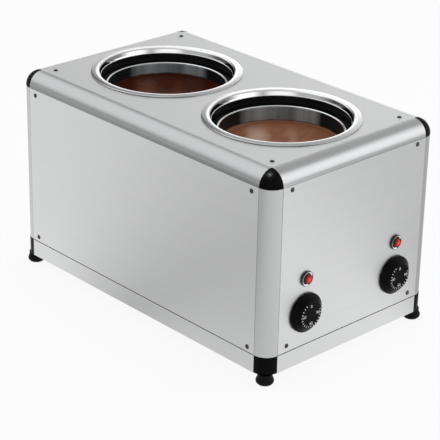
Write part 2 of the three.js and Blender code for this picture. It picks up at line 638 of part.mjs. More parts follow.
// A band heater about Z: a split ring drawn together by a bolt through two lugs on the +X side.
function bandHeater() {
  const inner = DRUM_OUTER + FIT_GAP;
  const outer = inner + HEATER_THICKNESS;
  const top = LEDGE_Z - HEATER_DROP;
  const low = top - HEATER_HEIGHT;
  const ring = turned([[inner, low], [outer, low], [outer, top], [inner, top], [inner, low]], LARGE_FACETS);
  const half = HEATER_SPLIT / 2;
  const open = ring.subtract(
    box([0, -half, low - CUT_OVERRUN], [outer + CUT_OVERRUN, half, top + CUT_OVERRUN]),
  );
  const middle = (top + low) / 2;
  const root = outer - HEATER_THICKNESS / 2;
  const tip = outer + CLAMP_LUG_REACH;
  const lugLow = [root, half, middle - CLAMP_LUG_HEIGHT / 2];
  const lugHigh = [tip, half + CLAMP_LUG_THICKNESS, middle + CLAMP_LUG_HEIGHT / 2];
  const lug = box(lugLow, lugHigh);
  const boltReach = half + 2 * CLAMP_LUG_THICKNESS;
  const bolt = bar(CLAMP_BOLT_RADIUS, -boltReach, boltReach, SMALL_FACETS / 2).rotate([90, 0, 0]);
  const boltX = (outer + tip) / 2;
  return open
    .add(lug)
    .add(lug.mirror([0, 1, 0]))
    .add(bolt.translate(boltX, 0, middle));
}

function addHeatedWells() {
  const wells = [
    { name: 'front', side: -1, fill: FRONT_FILL_SINK, finish: 'milkChocolate' },
    { name: 'rear', side: 1, fill: REAR_FILL_SINK, finish: 'darkChocolate' },
  ];
  const wellSolid = well();
  const collarSolid = collar();
  const heaterSolid = bandHeater();
  const potSolid = pot();
  for (const { name, side, fill, finish } of wells) {
    const y = side * WELL_Y;
    addPiece(`collar_${name}`, collarSolid, 'polishedSteel', [0, y, 0]);
    addPiece(`well_${name}`, wellSolid, 'blackEnamel', [0, y, 0]);
    addPiece(`well_retainer_${name}`, retainer(side), 'zincSteel', [0, y, 0]);
    addPiece(`band_heater_${name}`, heaterSolid, 'zincSteel', [0, y, 0]);
    addPiece(`pot_${name}`, potSolid, 'potSteel', [0, y, 0]);
    addPiece(`chocolate_${name}`, chocolate(TOP_Z - fill), finish, [0, y, 0]);
  }
}

// A bar with one flat side, along Z, as on a thermostat's shaft.
function flattedBar(radius, low, high) {
  const flat = radius - SHAFT_FLAT;
  const reach = radius + CUT_OVERRUN;
  const beside = box([-reach, flat, low - CUT_OVERRUN], [reach, reach, high + CUT_OVERRUN]);
  return bar(radius, low, high).subtract(beside);
}

// A hollow dial knob about Z, with its back at the panel and its face outwards.
function knob() {
  const faceRound = KNOB_REACH - KNOB_EDGE_ROUND;
  const ceiling = KNOB_REACH - KNOB_DISH - KNOB_WALL;
  const boreTop = ceiling - FIT_GAP;
  const shell = turned([
    [0, KNOB_RUNNING_GAP],
    [KNOB_HUB_RADIUS, KNOB_RUNNING_GAP],
    [KNOB_HUB_RADIUS, ceiling],
    [KNOB_FACE_RADIUS - KNOB_WALL, ceiling],
    [KNOB_RADIUS - KNOB_WALL, KNOB_RUNNING_GAP + KNOB_RIM],
    [KNOB_RADIUS - KNOB_WALL, KNOB_RUNNING_GAP],
    [KNOB_RADIUS, KNOB_RUNNING_GAP],
    [KNOB_RADIUS, KNOB_RUNNING_GAP + KNOB_RIM],
    [KNOB_RADIUS - KNOB_EDGE_ROUND, KNOB_RUNNING_GAP + KNOB_RIM + KNOB_EDGE_ROUND],
    [KNOB_FACE_RADIUS, faceRound],
    [KNOB_FACE_RADIUS - KNOB_EDGE_ROUND, KNOB_REACH],
    [KNOB_HUB_RADIUS, KNOB_REACH - KNOB_DISH],
    [0, KNOB_REACH - KNOB_DISH],
  ], MIDDLE_FACETS);
  return shell.subtract(flattedBar(SHAFT_RADIUS + FIT_GAP, 0, boreTop));
}

// The chrome ring of an indicator lamp about Z, with its neck through the panel.
function lampBezel() {
  return turned([
    [BEZEL_NECK_BORE, -BEZEL_NECK_LENGTH],
    [BEZEL_NECK_RADIUS, -BEZEL_NECK_LENGTH],
    [BEZEL_NECK_RADIUS, FIT_GAP],
    [BEZEL_RADIUS, FIT_GAP],
    [BEZEL_RADIUS, BEZEL_SEAT],
    [BEZEL_MOUTH_RADIUS + BEZEL_LIP, BEZEL_HEIGHT],
    [BEZEL_MOUTH_RADIUS, BEZEL_HEIGHT],
    [BEZEL_MOUTH_RADIUS, BEZEL_SEAT],
    [BEZEL_NECK_BORE, BEZEL_SEAT],
    [BEZEL_NECK_BORE, -BEZEL_NECK_LENGTH],
  ], MIDDLE_FACETS);
}

// A six-sided lens about Z: an upright band, sloping facets, a flat table and a round stem.
function lampLens() {
  const base = BEZEL_SEAT + FIT_GAP;
  const band = base + LENS_BAND;
  const stem = BEZEL_NECK_BORE - FIT_GAP;
  const cut = turned([
    [0, base],
    [LENS_RADIUS, base],
    [LENS_RADIUS, band],
    [LENS_RADIUS * LENS_TABLE_SHARE, base + LENS_HEIGHT],
    [0, base + LENS_HEIGHT],
  ], 6);
  return cut.add(bar(stem, -BEZEL_NECK_LENGTH / 2, band));
}

// The rear half of an indicator lamp about Z: a round body on the neck, with two blade tabs.
function lampBody() {
  const front = -SHEET - FIT_GAP;
  const rear = front - LAMP_BODY_LENGTH;
  const neckSocket = bar(BEZEL_NECK_RADIUS + FIT_GAP, -BEZEL_NECK_LENGTH - FIT_GAP, 0);
  let body = bar(LAMP_BODY_RADIUS, rear, front, MIDDLE_FACETS).subtract(neckSocket);
  const offset = LAMP_BODY_RADIUS / 2;
  for (const x of [-offset, offset]) {
    const low = [x - TAB_THICKNESS / 2, -TAB_WIDTH / 2, rear - TAB_LENGTH];
    body = body.add(box(low, [x + TAB_THICKNESS / 2, TAB_WIDTH / 2, rear + TAB_THICKNESS]));
  }
  return body;
}

// A capillary thermostat about Z, behind the panel: housing, pressure cup and two blade tabs.
function thermostat() {
  const front = -SHEET - FIT_GAP;
  const rear = front - THERMO_DEPTH;
  const halfX = THERMO_WIDTH / 2;
  const halfY = THERMO_HEIGHT / 2;
  let body = box([-halfX, -halfY, rear], [halfX, halfY, front]);
  body = body.add(bar(THERMO_CUP_RADIUS, rear - THERMO_CUP_DEPTH, rear + SHEET, MIDDLE_FACETS));
  for (const x of [-THERMO_TAB_SPREAD, THERMO_TAB_SPREAD]) {
    const low = [x - TAB_WIDTH / 2, halfY - TAB_LENGTH / 2, rear - TAB_LENGTH];
    const high = [x + TAB_WIDTH / 2, halfY - TAB_LENGTH / 2 + TAB_THICKNESS, rear + TAB_THICKNESS];
    body = body.add(box(low, high));
  }
  const socket = flattedBar(SHAFT_RADIUS + FIT_GAP, front - SHAFT_SOCKET - FIT_GAP, 0);
  return body.subtract(bar(SHAFT_RADIUS + FIT_GAP, front - SHAFT_SOCKET - FIT_GAP, 0)).subtract(socket);
}

// A sensing bulb under a well with its capillary tube back to the thermostat, in machine axes.
function capillary(side, wellY, isLong) {
  const bulbZ = WELL_FLOOR_Z - SHEET - FIT_GAP - BULB_RADIUS;
  const bulbX = side * BULB_X;
  const bulbFront = wellY - BULB_LENGTH / 2;
  const startY = -INSIDE_Y + THERMO_DEPTH + THERMO_CUP_DEPTH + 2 * FIT_GAP;
  const startX = side * CONTROL_X;
  const reach = CAPILLARY_BEND;
  const runZ = WELL_FLOOR_Z - SHEET - CAPILLARY_DROP;
  const points = [new THREE.Vector3(startX, startY, KNOB_Z), new THREE.Vector3(startX, startY + reach, KNOB_Z)];
  if (isLong) {
    points.push(new THREE.Vector3(startX, -WELL_Y - reach, runZ));
    points.push(new THREE.Vector3(startX, -WELL_Y + reach, runZ));
  }
  points.push(new THREE.Vector3((startX + bulbX) / 2, bulbFront - 2 * reach, runZ));
  points.push(new THREE.Vector3(bulbX, bulbFront - reach, bulbZ));
  points.push(new THREE.Vector3(bulbX, bulbFront + reach, bulbZ));
  const section = new THREE.Shape();
  section.absarc(0, 0, CAPILLARY_RADIUS, 0, 2 * Math.PI, false);
  const options = {
    steps: 3 * points.length,
    curveSegments: 3,
    extrudePath: new THREE.CatmullRomCurve3(points),
  };
  const tube = solidOf(new THREE.ExtrudeGeometry(section, options));
  const bulb = bar(BULB_RADIUS, 0, BULB_LENGTH, SMALL_FACETS / 2).rotate([-90, 0, 0]);
  return tube.add(bulb.translate(bulbX, bulbFront, bulbZ));
}

function addControls() {
  const outwards = [Math.PI / 2, 0, 0];
  const knobSolid = knob();
  const shaftLow = -SHEET - FIT_GAP - SHAFT_SOCKET;
  const shaftHigh = KNOB_REACH - KNOB_DISH - KNOB_WALL - 2 * FIT_GAP;
  const shaft = flattedBar(SHAFT_RADIUS, shaftLow, shaftHigh);
  const controls = [
    { name: 'left', side: -1, wellY: -WELL_Y, isLong: false },
    { name: 'right', side: 1, wellY: WELL_Y, isLong: true },
  ];
  for (const { name, side, wellY, isLong } of controls) {
    const knobPlace = [side * CONTROL_X, -FACE_Y, KNOB_Z];
    const lampPlace = [side * CONTROL_X, -FACE_Y, LAMP_Z];
    addPiece(`knob_${name}`, knobSolid, 'blackPlastic', knobPlace, outwards);
    addPiece(`thermostat_shaft_${name}`, shaft, 'zincSteel', knobPlace, outwards);
    addPiece(`thermostat_${name}`, thermostat(), 'brownPlastic', knobPlace, outwards);
    addPiece(`capillary_${name}`, capillary(side, wellY, isLong), 'copper');
    addPiece(`lamp_bezel_${name}`, lampBezel(), 'chrome', lampPlace, outwards);
    addPiece(`lamp_lens_${name}`, lampLens(), 'redLens', lampPlace, outwards);
    addPiece(`lamp_body_${name}`, lampBody(), 'lampPlastic', lampPlace, outwards);
  }
}

// The cord gland about Z: flange, domed nut and a neck through the rear panel, bored through.
function cordGland() {
  const shoulder = GLAND_FLANGE_HEIGHT + FIT_GAP;
  return turned([
    [GLAND_BORE, -GLAND_NECK_LENGTH],
    [GLAND_NECK_RADIUS, -GLAND_NECK_LENGTH],
    [GLAND_NECK_RADIUS, FIT_GAP],
    [GLAND_FLANGE_RADIUS, FIT_GAP],
    [GLAND_FLANGE_RADIUS, shoulder],
    [GLAND_DOME_RADIUS, shoulder],
    ...arcPoints(
      [GLAND_TIP_RADIUS, shoulder],
      [GLAND_DOME_RADIUS - GLAND_TIP_RADIUS, GLAND_REACH - shoulder],
      Math.PI / 6,
      Math.PI / 2,
      3,
    ),
    [GLAND_BORE, GLAND_REACH],
    [GLAND_BORE, -GLAND_NECK_LENGTH],
  ], MIDDLE_FACETS);
}

// The six-sided nut that holds the gland from inside the rear panel.
function glandLocknut() {
  const top = -SHEET - FIT_GAP;
  const nut = bar(LOCKNUT_RADIUS, top - LOCKNUT_THICKNESS, top, 6);
  return nut.subtract(bar(GLAND_NECK_RADIUS + FIT_GAP, top - LOCKNUT_THICKNESS - CUT_OVERRUN, 0, MIDDLE_FACETS));
}

// A terminal block on the floor of the tray, with a stepped back and a wire hole for each way.
function terminalBlock() {
  const floor = TRAY_FLOOR_Z + FIT_GAP;
  const halfX = BLOCK_WIDTH / 2;
  const halfY = BLOCK_DEPTH / 2;
  const ridge = BLOCK_RIDGE_DEPTH / 2;
  let block = box([-halfX, -halfY, floor], [halfX, halfY, floor + BLOCK_BASE_HEIGHT]);
  block = block.add(box([-halfX, -ridge, floor + SHEET], [halfX, ridge, floor + BLOCK_TOP_HEIGHT]));
  const pitch = BLOCK_WIDTH / BLOCK_WAYS;
  const wireZ = floor + (BLOCK_BASE_HEIGHT + BLOCK_TOP_HEIGHT) / 2;
  for (let i = 0; i < BLOCK_WAYS; i += 1) {
    const x = (i - (BLOCK_WAYS - 1) / 2) * pitch;
    const hole = bar(BLOCK_WIRE_RADIUS, -halfY - CUT_OVERRUN, halfY + CUT_OVERRUN, SMALL_FACETS / 2);
    block = block.subtract(hole.rotate([90, 0, 0]).translate(x, 0, wireZ));
  }
  return block;
}

function addMainsSide() {
  const outwards = [-Math.PI / 2, 0, 0];
  const place = [GLAND_X, FACE_Y, GLAND_Z];
  addPiece('cord_gland', cordGland(), 'blackPlastic', place, outwards);
  addPiece('gland_locknut', glandLocknut(), 'blackPlastic', place, outwards);
  const blockY = INSIDE_Y - BLOCK_WALL_GAP - BLOCK_DEPTH / 2;
  addPiece('terminal_block', terminalBlock(), 'lampPlastic', [BLOCK_INSET - ARC_X, blockY, 0]);
}

addCorners();
addTopRails();
addPanels();
addTray();
addHeatedWells();
addControls();
addMainsSide();

export default machine;
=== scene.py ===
import math

import bmesh
import bpy
import numpy as np
from mathutils import Matrix, Vector


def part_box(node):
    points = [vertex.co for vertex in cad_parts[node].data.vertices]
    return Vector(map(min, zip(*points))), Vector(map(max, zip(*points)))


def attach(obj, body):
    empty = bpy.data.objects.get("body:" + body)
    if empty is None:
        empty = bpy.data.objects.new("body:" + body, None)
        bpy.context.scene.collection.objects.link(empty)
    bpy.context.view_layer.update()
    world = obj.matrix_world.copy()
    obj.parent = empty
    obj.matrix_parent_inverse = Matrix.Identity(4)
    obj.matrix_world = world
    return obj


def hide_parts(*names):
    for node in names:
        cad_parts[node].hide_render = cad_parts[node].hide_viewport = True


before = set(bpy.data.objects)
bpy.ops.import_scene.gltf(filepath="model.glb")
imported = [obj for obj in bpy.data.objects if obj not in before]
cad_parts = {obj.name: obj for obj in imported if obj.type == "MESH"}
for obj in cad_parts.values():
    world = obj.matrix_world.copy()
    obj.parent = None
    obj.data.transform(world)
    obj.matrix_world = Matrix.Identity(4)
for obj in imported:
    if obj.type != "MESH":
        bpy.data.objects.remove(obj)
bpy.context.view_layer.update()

# Counter-top chocolate melter. Lengths are millimetres and become metres when a mesh is made.
MM = 0.001
X, Y, Z = range(3)
LOW, HIGH = range(2)


def side_of(node, axis, end=HIGH):
    """Where a solid at rest ends along an axis."""
    return round(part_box(node)[end][axis] / MM, 3)


def middle_of(node, axis):
    """Half way between the two ends of a solid along an axis."""
    return (side_of(node, axis, LOW) + side_of(node, axis)) / 2


# Sizes of the solids that their boxes don't give
EDGE_RADIUS, PROFILE_WALL = 21.5, 2.0
SEAT, BACK, FLANGE_WIDTH = 20.0, 18.0, 18.5  # outer side, inner side and width of a profile's flange
PORT_OFFSET, PORT_RADIUS, PORT_BORE, PORT_WEB = 9.6, 5.0, 2.1, 2.4
KEY_INSET, KEY_LENGTH = 1.5, 10.0
FIT_GAP, SHEET = 0.3, 1.2
MOUTH_RADIUS, CREST_RADIUS = 94.0, 99.0
DRUM_RADIUS, DRUM_CORNER, LEDGE_Z = 87.0, 8.0, 276.2
POT_RADIUS, POT_WALL, POT_CORNER = 84.5, 1.3, 14.0
KNOB_FACE_RADIUS, BEZEL_RIM = 18.6, 9.9

# Places and sizes that the solids' boxes give
FACE_X, FACE_Y, TOP_Z = side_of("right_panel", X), side_of("rear_panel", Y), side_of("top_panel", Z)
ARC_X, ARC_Y, ARC_Z = [face - EDGE_RADIUS for face in (FACE_X, FACE_Y, TOP_Z)]  # middles of rounded edges
CORNER_RADIUS = side_of("top_corner_rear_right", X) - ARC_X
TRAY_BOTTOM, TRAY_TOP = side_of("base_tray", Z, LOW), side_of("post_rear_right", Z, LOW) - FIT_GAP
WELL_Y, WELL_FLOOR_Z = middle_of("well_rear", Y), side_of("well_rear", Z, LOW) + SHEET
COLLAR_RADIUS, CREST_Z = side_of("collar_rear", Y) - WELL_Y, side_of("collar_rear", Z)
POT_RIM_RADIUS, RIM_Z = side_of("pot_rear", Y) - WELL_Y, side_of("pot_rear", Z)
POT_FLOOR_Z = side_of("pot_rear", Z, LOW)
POT_BEND = POT_RADIUS - POT_CORNER, POT_FLOOR_Z + POT_CORNER  # middle of a pot's rounded corner
MILK_LEVEL, DARK_LEVEL = side_of("chocolate_front", Z), side_of("chocolate_rear", Z)
CONTROL_X, KNOB_Z = middle_of("knob_right", X), middle_of("knob_right", Z)
KNOB_RADIUS, KNOB_REACH = side_of("knob_right", X) - CONTROL_X, -FACE_Y - side_of("knob_right", Y, LOW)
LAMP_Z = middle_of("lamp_lens_right", Z)
LENS_RADIUS = side_of("lamp_lens_right", Z) - LAMP_Z
GLAND_X, GLAND_Z = middle_of("cord_gland", X), middle_of("cord_gland", Z)


# Meshes

def grid_faces(rows, columns, wrap=False):
    """Quads of a grid of rows x columns points: each joins a point, its right neighbour and the two below.
    With wrap, the last column is joined to the first."""
    row = np.arange(rows - 1)[:, None]
    column = np.arange(columns if wrap else columns - 1)[None, :]
    right = (column + 1) % columns
    quads = np.stack([row * columns + column, row * columns + right,
                      (row + 1) * columns + right, (row + 1) * columns + column], axis=-1)
    return quads.reshape(-1, 4)


def turned(profile, count):
    """Surface of revolution about Z: point (r, z) of the profile at angle t goes to
    (r cos t, r sin t, z), for count even angles."""
    profile = np.asarray(profile, float)
    angle = np.arange(count) * 2 * math.pi / count
    radius, height = profile[:, :1], profile[:, 1:]
    points = np.stack([radius * np.cos(angle), radius * np.sin(angle),
                       height + 0 * angle], axis=-1).reshape(-1, 3)
    return points, [grid_faces(len(profile), count, wrap=True)]


def lofted(sections):
    """Closed outlines of equal length stacked one after another, joined by quads, with a flat face
    over the first and the last."""
    sections = np.asarray(sections, float)
    count, around = sections.shape[:2]
    caps = np.arange(around)
    return sections.reshape(-1, 3), [grid_faces(count, around, wrap=True), caps[None, ::-1],
                                     (caps + (count - 1) * around)[None, :]]


def raised(outline, low, high):
    """An outline of (x, y) points stretched straight up from one height to another."""
    outline = np.asarray(outline, float)
    flat = np.ones((len(outline), 1))
    return lofted([np.hstack([outline, flat * low]), np.hstack([outline, flat * high])])


def block(low, high):
    """A plain bar between two opposite corners."""
    (x0, y0, z0), (x1, y1, z1) = low, high
    return raised([(x0, y0), (x1, y0), (x1, y1), (x0, y1)], z0, z1)


def joined(parts):
    """Several point and face lists as one: each list's face numbers are moved on by the points before it."""
    points, faces, start = [], [], 0
    for part_points, part_faces in parts:
        points.append(part_points)
        faces.extend(f + start for f in part_faces)
        start += len(part_points)
    return np.vstack(points), faces


def arc(middle, radii, start, stop, count):
    """Points of an ellipse: middle + (a cos t, b sin t) for count + 1 even angles from start to stop,
    in degrees. One number for both radii gives a round arc."""
    angle = np.radians(np.linspace(start, stop, count + 1))
    return np.array(middle) + np.array(radii) * np.stack([np.cos(angle), np.sin(angle)], axis=-1)


def smooth(points, count):
    """A Catmull-Rom curve through the points: on each stretch a cubic in t whose slope at a point is
    half the chord between its two neighbours."""
    points = np.asarray(points, float)
    padded = np.vstack([points[:1], points, points[-1:]])
    t = np.linspace(0, 1, count, endpoint=False)[:, None]
    pieces = []
    for a, b, c, d in zip(padded, padded[1:], padded[2:], padded[3:]):
        slope, next_slope = (c - a) / 2, (d - b) / 2
        pieces.append(b + slope * t + (3 * (c - b) - 2 * slope - next_slope) * t ** 2
                      + (2 * (b - c) + slope + next_slope) * t ** 3)
    return np.vstack(pieces + [points[-1:]])


def moved(shape, offset=(0, 0, 0), turn=0.0, tip=0.0):
    """The shape tipped about X by tip degrees, then turned about Z by turn degrees, then moved by offset."""
    points, faces = shape
    change = (Matrix.Translation(offset) @ Matrix.Rotation(math.radians(turn), 4, "Z")
              @ Matrix.Rotation(math.radians(tip), 4, "X"))
    m = np.array(change)
    return points @ m[:3, :3].T + m[:3, 3], faces


def placed(name, data):
    """A new object in the scene."""
    item = bpy.data.objects.new(name, data)
    bpy.context.scene.collection.objects.link(item)
    return item


def make_piece(name, shape, finish, slot, stands_for=None, body="cabinet", crease=35, heal=0.002):
    """A named piece of the machine: doubles merged, normals recalculated, smooth except at sharp edges."""
    points, faces = shape
    mesh = bpy.data.meshes.new(name)
    mesh.from_pydata((points * MM).tolist(), [], [f for group in faces for f in group.tolist()])
    work = bmesh.new()
    work.from_mesh(mesh)
    bmesh.ops.remove_doubles(work, verts=work.verts, dist=heal * MM)
    bmesh.ops.recalc_face_normals(work, faces=work.faces)
    work.to_mesh(mesh)
    work.free()
    mesh.shade_smooth()
    mesh.set_sharp_from_angle(angle=math.radians(crease))
    piece = placed(name, mesh)
    mesh.materials.append(finish)
    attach(piece, body)
    if stands_for:
        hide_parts(stands_for)
    return piece


def soften(piece, width, angle=40):
    """Rounds the sharp edges of a piece by a small width."""
    bevel = piece.modifiers.new("soft edges", "BEVEL")
    bevel.width = width * MM
    bevel.segments = 2
    bevel.limit_method = "ANGLE"
    bevel.angle_limit = math.radians(angle)
    bevel.harden_normals = True


# Materials

class Signal:
    """One output of a shader node. Maths on signals is written as plain expressions and adds Math nodes."""

    def __init__(self, tree, socket):
        self.tree, self.socket = tree, socket

    def __add__(self, other):
        return self.tree.maths("ADD", self, other)

    def __sub__(self, other):
        return self.tree.maths("SUBTRACT", self, other)

    def __rsub__(self, other):
        return self.tree.maths("SUBTRACT", other, self)

    def __mul__(self, other):
        return self.tree.maths("MULTIPLY", self, other)

    __radd__, __rmul__ = __add__, __mul__

    def size(self):
        return self.tree.maths("ABSOLUTE", self)

    def sine(self):
        return self.tree.maths("SINE", self)

    def cosine(self):
        return self.tree.maths("COSINE", self)

    def step(self, low, high, to_low=0.0, to_high=1.0):
        """A smooth step: to_low below low, to_high above high."""
        return self.tree.add("ShaderNodeMapRange", {"interpolation_type": "SMOOTHSTEP"}, {
            "Value": self, "From Min": low, "From Max": high, "To Min": to_low, "To Max": to_high})


class NodeTree:
    """The nodes of a material or of the world, built up one by one."""

    def __init__(self, tree):
        self.nodes, self.links = tree.nodes, tree.links
        self.place = None

    def feed(self, socket, value):
        if isinstance(value, Signal):
            self.links.new(value.socket, socket)
        else:
            socket.default_value = value

    def add(self, kind, settings=None, inputs=None, output=0):
        """Any node: its settings are set first, then its sockets get their values or links."""
        node = self.nodes.new(kind)
        for key, value in (settings or {}).items():
            if key == "stops":
                ramp = node.color_ramp
                while len(ramp.elements) < len(value):
                    ramp.elements.new(1.0)
                for element, (position, color) in zip(ramp.elements, value):
                    element.position, element.color = position, (*color, 1.0)
            else:
                setattr(node, key, value)
        for key, value in (inputs or {}).items():
            self.feed(node.inputs[key], value)
        return Signal(self, node.outputs[output]) if node.outputs else None

    def maths(self, operation, *values):
        return self.add("ShaderNodeMath", {"operation": operation}, dict(enumerate(values)))

    def vector(self, operation, *values, output=0):
        return self.add("ShaderNodeVectorMath", {"operation": operation}, dict(enumerate(values)), output)

    def rays(self, *kinds):
        """Signals that are 1 on rays of each kind: Camera, Glossy or Transmission."""
        outputs = self.add("ShaderNodeLightPath").socket.node.outputs
        return [Signal(self, outputs[f"Is {kind} Ray"]) for kind in kinds]

    def mix(self, share, first, second):
        """A shader from first to second as share goes from 0 to 1."""
        return self.add("ShaderNodeMixShader", inputs={0: share, 1: first, 2: second})

    def axes(self, vector):
        """The three components of a vector as signals."""
        outputs = self.add("ShaderNodeSeparateXYZ", inputs={0: vector}).socket.node.outputs
        return [Signal(self, socket) for socket in outputs]

    def point(self, scale=(1, 1, 1), offset=(0, 0, 0)):
        """The place on the machine in metres, moved by offset and then stretched."""
        if self.place is None:
            self.place = self.add("ShaderNodeTexCoord", output="Object")
        return self.vector("MULTIPLY", self.vector("ADD", self.place, offset), scale)

    def spot(self, centre_y=0.0):
        """The place in millimetres, along X, Y and Z, from the upright line at centre_y."""
        return self.axes(self.point((1 / MM,) * 3, (0, -centre_y * MM, 0)))

    def reach(self, along, x=0.0, y=0.0, z=0.0):
        """Distance in millimetres from the line through (x, y, z) along one axis: the root of the sum of
        the squares along the other two."""
        scale = [0 if axis == along else 1 / MM for axis in (X, Y, Z)]
        return self.vector("LENGTH", self.point(scale, (-x * MM, -y * MM, -z * MM)), output="Value")

    def bearing(self, centre_y=0.0):
        """Direction round the upright line at centre_y in radians, from +X towards +Y."""
        x, y, _ = self.spot(centre_y)
        return self.maths("ARCTAN2", y, x)

    def noise(self, scale, detail=2.0, roughness=0.5, distortion=0.0, place=None):
        """Cloudy noise from 0 to 1, with its middle at 0.5."""
        return self.add("ShaderNodeTexNoise", inputs={
            "Vector": place or self.point(), "Scale": scale, "Detail": detail, "Roughness": roughness,
            "Distortion": distortion})

    def rings(self, radius, height, per_mm):
        """Noise by distance and height alone, which draws fine rings round an upright line."""
        place = self.add("ShaderNodeCombineXYZ", inputs={0: radius * per_mm, 1: height * per_mm, 2: 0.0})
        return self.noise(1.0, place=place)

    def blend(self, share, first, second):
        """A colour from first to second as share goes from 0 to 1. A plain number is a grey."""
        ends = [c if isinstance(c, Signal) else (c, c, c, 1.0) if isinstance(c, float) else (*c, 1.0)
                for c in (first, second)]
        return self.add("ShaderNodeMix", {"data_type": "RGBA", "clamp_factor": True},
                        {0: share, 6: ends[0], 7: ends[1]}, output=2)


class Finish(NodeTree):
    """A procedural finish of the machine round one surface shader."""

    def __init__(self, name, **settings):
        self.material = bpy.data.materials.new(name)
        self.material.use_nodes = True
        super().__init__(self.material.node_tree)
        self.shader = self.nodes["Principled BSDF"]
        self.set(**settings)

    def set(self, **values):
        """Values or signals for sockets of the surface shader, with _ for the spaces in their names."""
        for key, value in values.items():
            self.feed(self.shader.inputs[key.replace("_", " ")], value)

    def done(self, height, distance):
        """The material, with a relief of the given height in millimetres where the signal is 1."""
        self.set(Normal=self.add("ShaderNodeBump", inputs={
            "Strength": 1.0, "Distance": distance * MM, "Height": height}))
        return self.material


def toned(color, *factors):
    """A colour made darker or lighter by each factor."""
    return [np.array(color) * factor for factor in factors]


def streaked_steel(name, along, color, roughness, contrast=1.0, fine=1400.0, length=9.0, painted_shade_above=None):
    """Brushed metal: noise drawn out along one axis, in a fine and a broader layer, lights and darkens
    the metal, roughens it and gives a faint relief. Slow clouds stand for handling marks. Given a height
    as the last argument, painted shade darkens the metal just above that height."""
    finish = Finish(name, Metallic=1.0)
    stretch, broad_stretch = [fine] * 3, [fine / 6] * 3
    stretch[along], broad_stretch[along] = length, length / 3
    hair = finish.noise(1.0, 3.0, 0.6, place=finish.point(stretch))
    band = finish.noise(1.0, place=finish.point(broad_stretch, (0.37, 0.11, 0.23)))
    cloud = finish.noise(9.0, 3.0)
    tone = (hair - 0.5) * (0.4 * contrast) + (band - 0.5) * (0.1 * contrast) + (cloud - 0.5) * 0.1 + 0.5
    dark, light = toned(color, 0.8, 1.16)
    # Painted shade: darker towards the lower edge, just above the given height, with a wider spread of tone
    if painted_shade_above:
        painted_shade_band = 7.0
        tone = tone - finish.spot()[Z].step(painted_shade_above, painted_shade_above + painted_shade_band, 1.1, 0.0)
        dark, light = toned(color, 0.5, 1.3)
    finish.set(Base_Color=finish.blend(tone, dark, light),
               Roughness=(hair - 0.5) * 0.16 + (cloud - 0.5) * 0.08 + roughness)
    return finish.done(hair * 0.8 + band * 0.2, 0.008 * contrast)


# The top panel's copy of the steel is a little darker than the sides': painted shade on the top
panel_steel = {
    tag: streaked_steel("brushed panel steel " + tag, along, (grey, grey + 0.005, grey + 0.005), 0.4)
    for tag, along, grey in (("across", X, 0.71), ("along", Y, 0.71), ("top", Y, 0.68))}
# The rails along Y get painted shade just above their lower edge.
profile_metal = {
    tag: streaked_steel("satin edge profile " + tag, along, (grey, grey + 0.005, grey + 0.01), 0.3,
                        contrast=0.4, fine=900.0, length=4.0, painted_shade_above=painted_shade_height)
    for tag, along, grey, painted_shade_height in (("across", X, 0.55, None), ("along", Y, 0.56, ARC_Z),
                                        ("upright", Z, 0.56, None))}

# Painted reflection bands on the collars and on the pots' walls lie to both sides of this bearing, in radians
FLANK_BEARING = math.radians(46.7)


def spun_steel(name, centre_y, color, roughness, contrast):
    """Polished sheet turned on a lathe: fine rings by distance from the middle line and by height, a
    satin outer slope with painted shade, dark on one side and a little on the next, a painted highlight
    that draws the crest nearly white, and a painted dark reflection band inside, between the crest and the
    lip, on two flanks."""
    finish = Finish(name, Metallic=1.0)
    radius, height = finish.reach(Z, y=centre_y), finish.spot()[Z]
    ring = finish.rings(radius, height, 1.5)
    cloud = finish.noise(14.0, 3.0)
    tone = (ring - 0.5) * contrast + (cloud - 0.5) * 0.3 + 0.5
    around = finish.bearing(centre_y) - FLANK_BEARING
    # Painted dark reflection: a band inside, between the crest and the lip, on two flanks
    painted_flank_reflection = ((around * 2).cosine().step(-0.2, 0.5, 1.0, 0.0) * height.step(CREST_Z - 5.7, CREST_Z - 5.1)
             * radius.step(MOUTH_RADIUS + 1.6, MOUTH_RADIUS + 2.6, 1.0, 0.0))
    polished = finish.blend(painted_flank_reflection * 0.9, finish.blend(tone, *toned(color, 0.85, 1.12)), (0.06, 0.06, 0.062))
    # Painted shade on the satin slope: a little on the front-left side of each well and dark on its rear-left
    # side
    near, side = around.cosine().step(-0.95, -0.5, 1.0, 0.0), around.sine().step(0.6, 0.95)
    satin = finish.blend(near, (0.62, 0.625, 0.63), (0.5, 0.505, 0.51))
    satin = finish.blend(side, satin, (0.2, 0.2, 0.205))
    slope = radius.step(CREST_RADIUS + 0.4, CREST_RADIUS + 3.0)
    # Painted highlight: the crest drawn nearly white and less metallic
    painted_crest_highlight = (radius.step(CREST_RADIUS - 1.6, CREST_RADIUS - 1.0)
              * radius.step(CREST_RADIUS + 0.1, CREST_RADIUS + 0.7, 1.0, 0.0))
    finish.set(Base_Color=finish.blend(painted_crest_highlight, finish.blend(slope * 0.75, polished, satin), 0.95),
               Metallic=1 - painted_crest_highlight * 0.7, Roughness=(cloud - 0.5) * 0.08 + slope * 0.08 + roughness)
    return finish.done(ring, 0.004 * contrast)


def enamel():
    """Black vitreous enamel: near black with a faint orange-peel relief and a little dust."""
    finish = Finish("black well enamel", Specular_IOR_Level=0.12)
    peel = finish.noise(260.0)
    dust = finish.noise(30.0, 4.0, 0.65)
    finish.set(Base_Color=finish.blend(dust.step(0.45, 0.8), (0.004, 0.004, 0.0045), 0.01),
               Roughness=(dust - 0.5) * 0.2 + 0.32)
    return finish.done(peel, 0.05)


well_enamel = enamel()


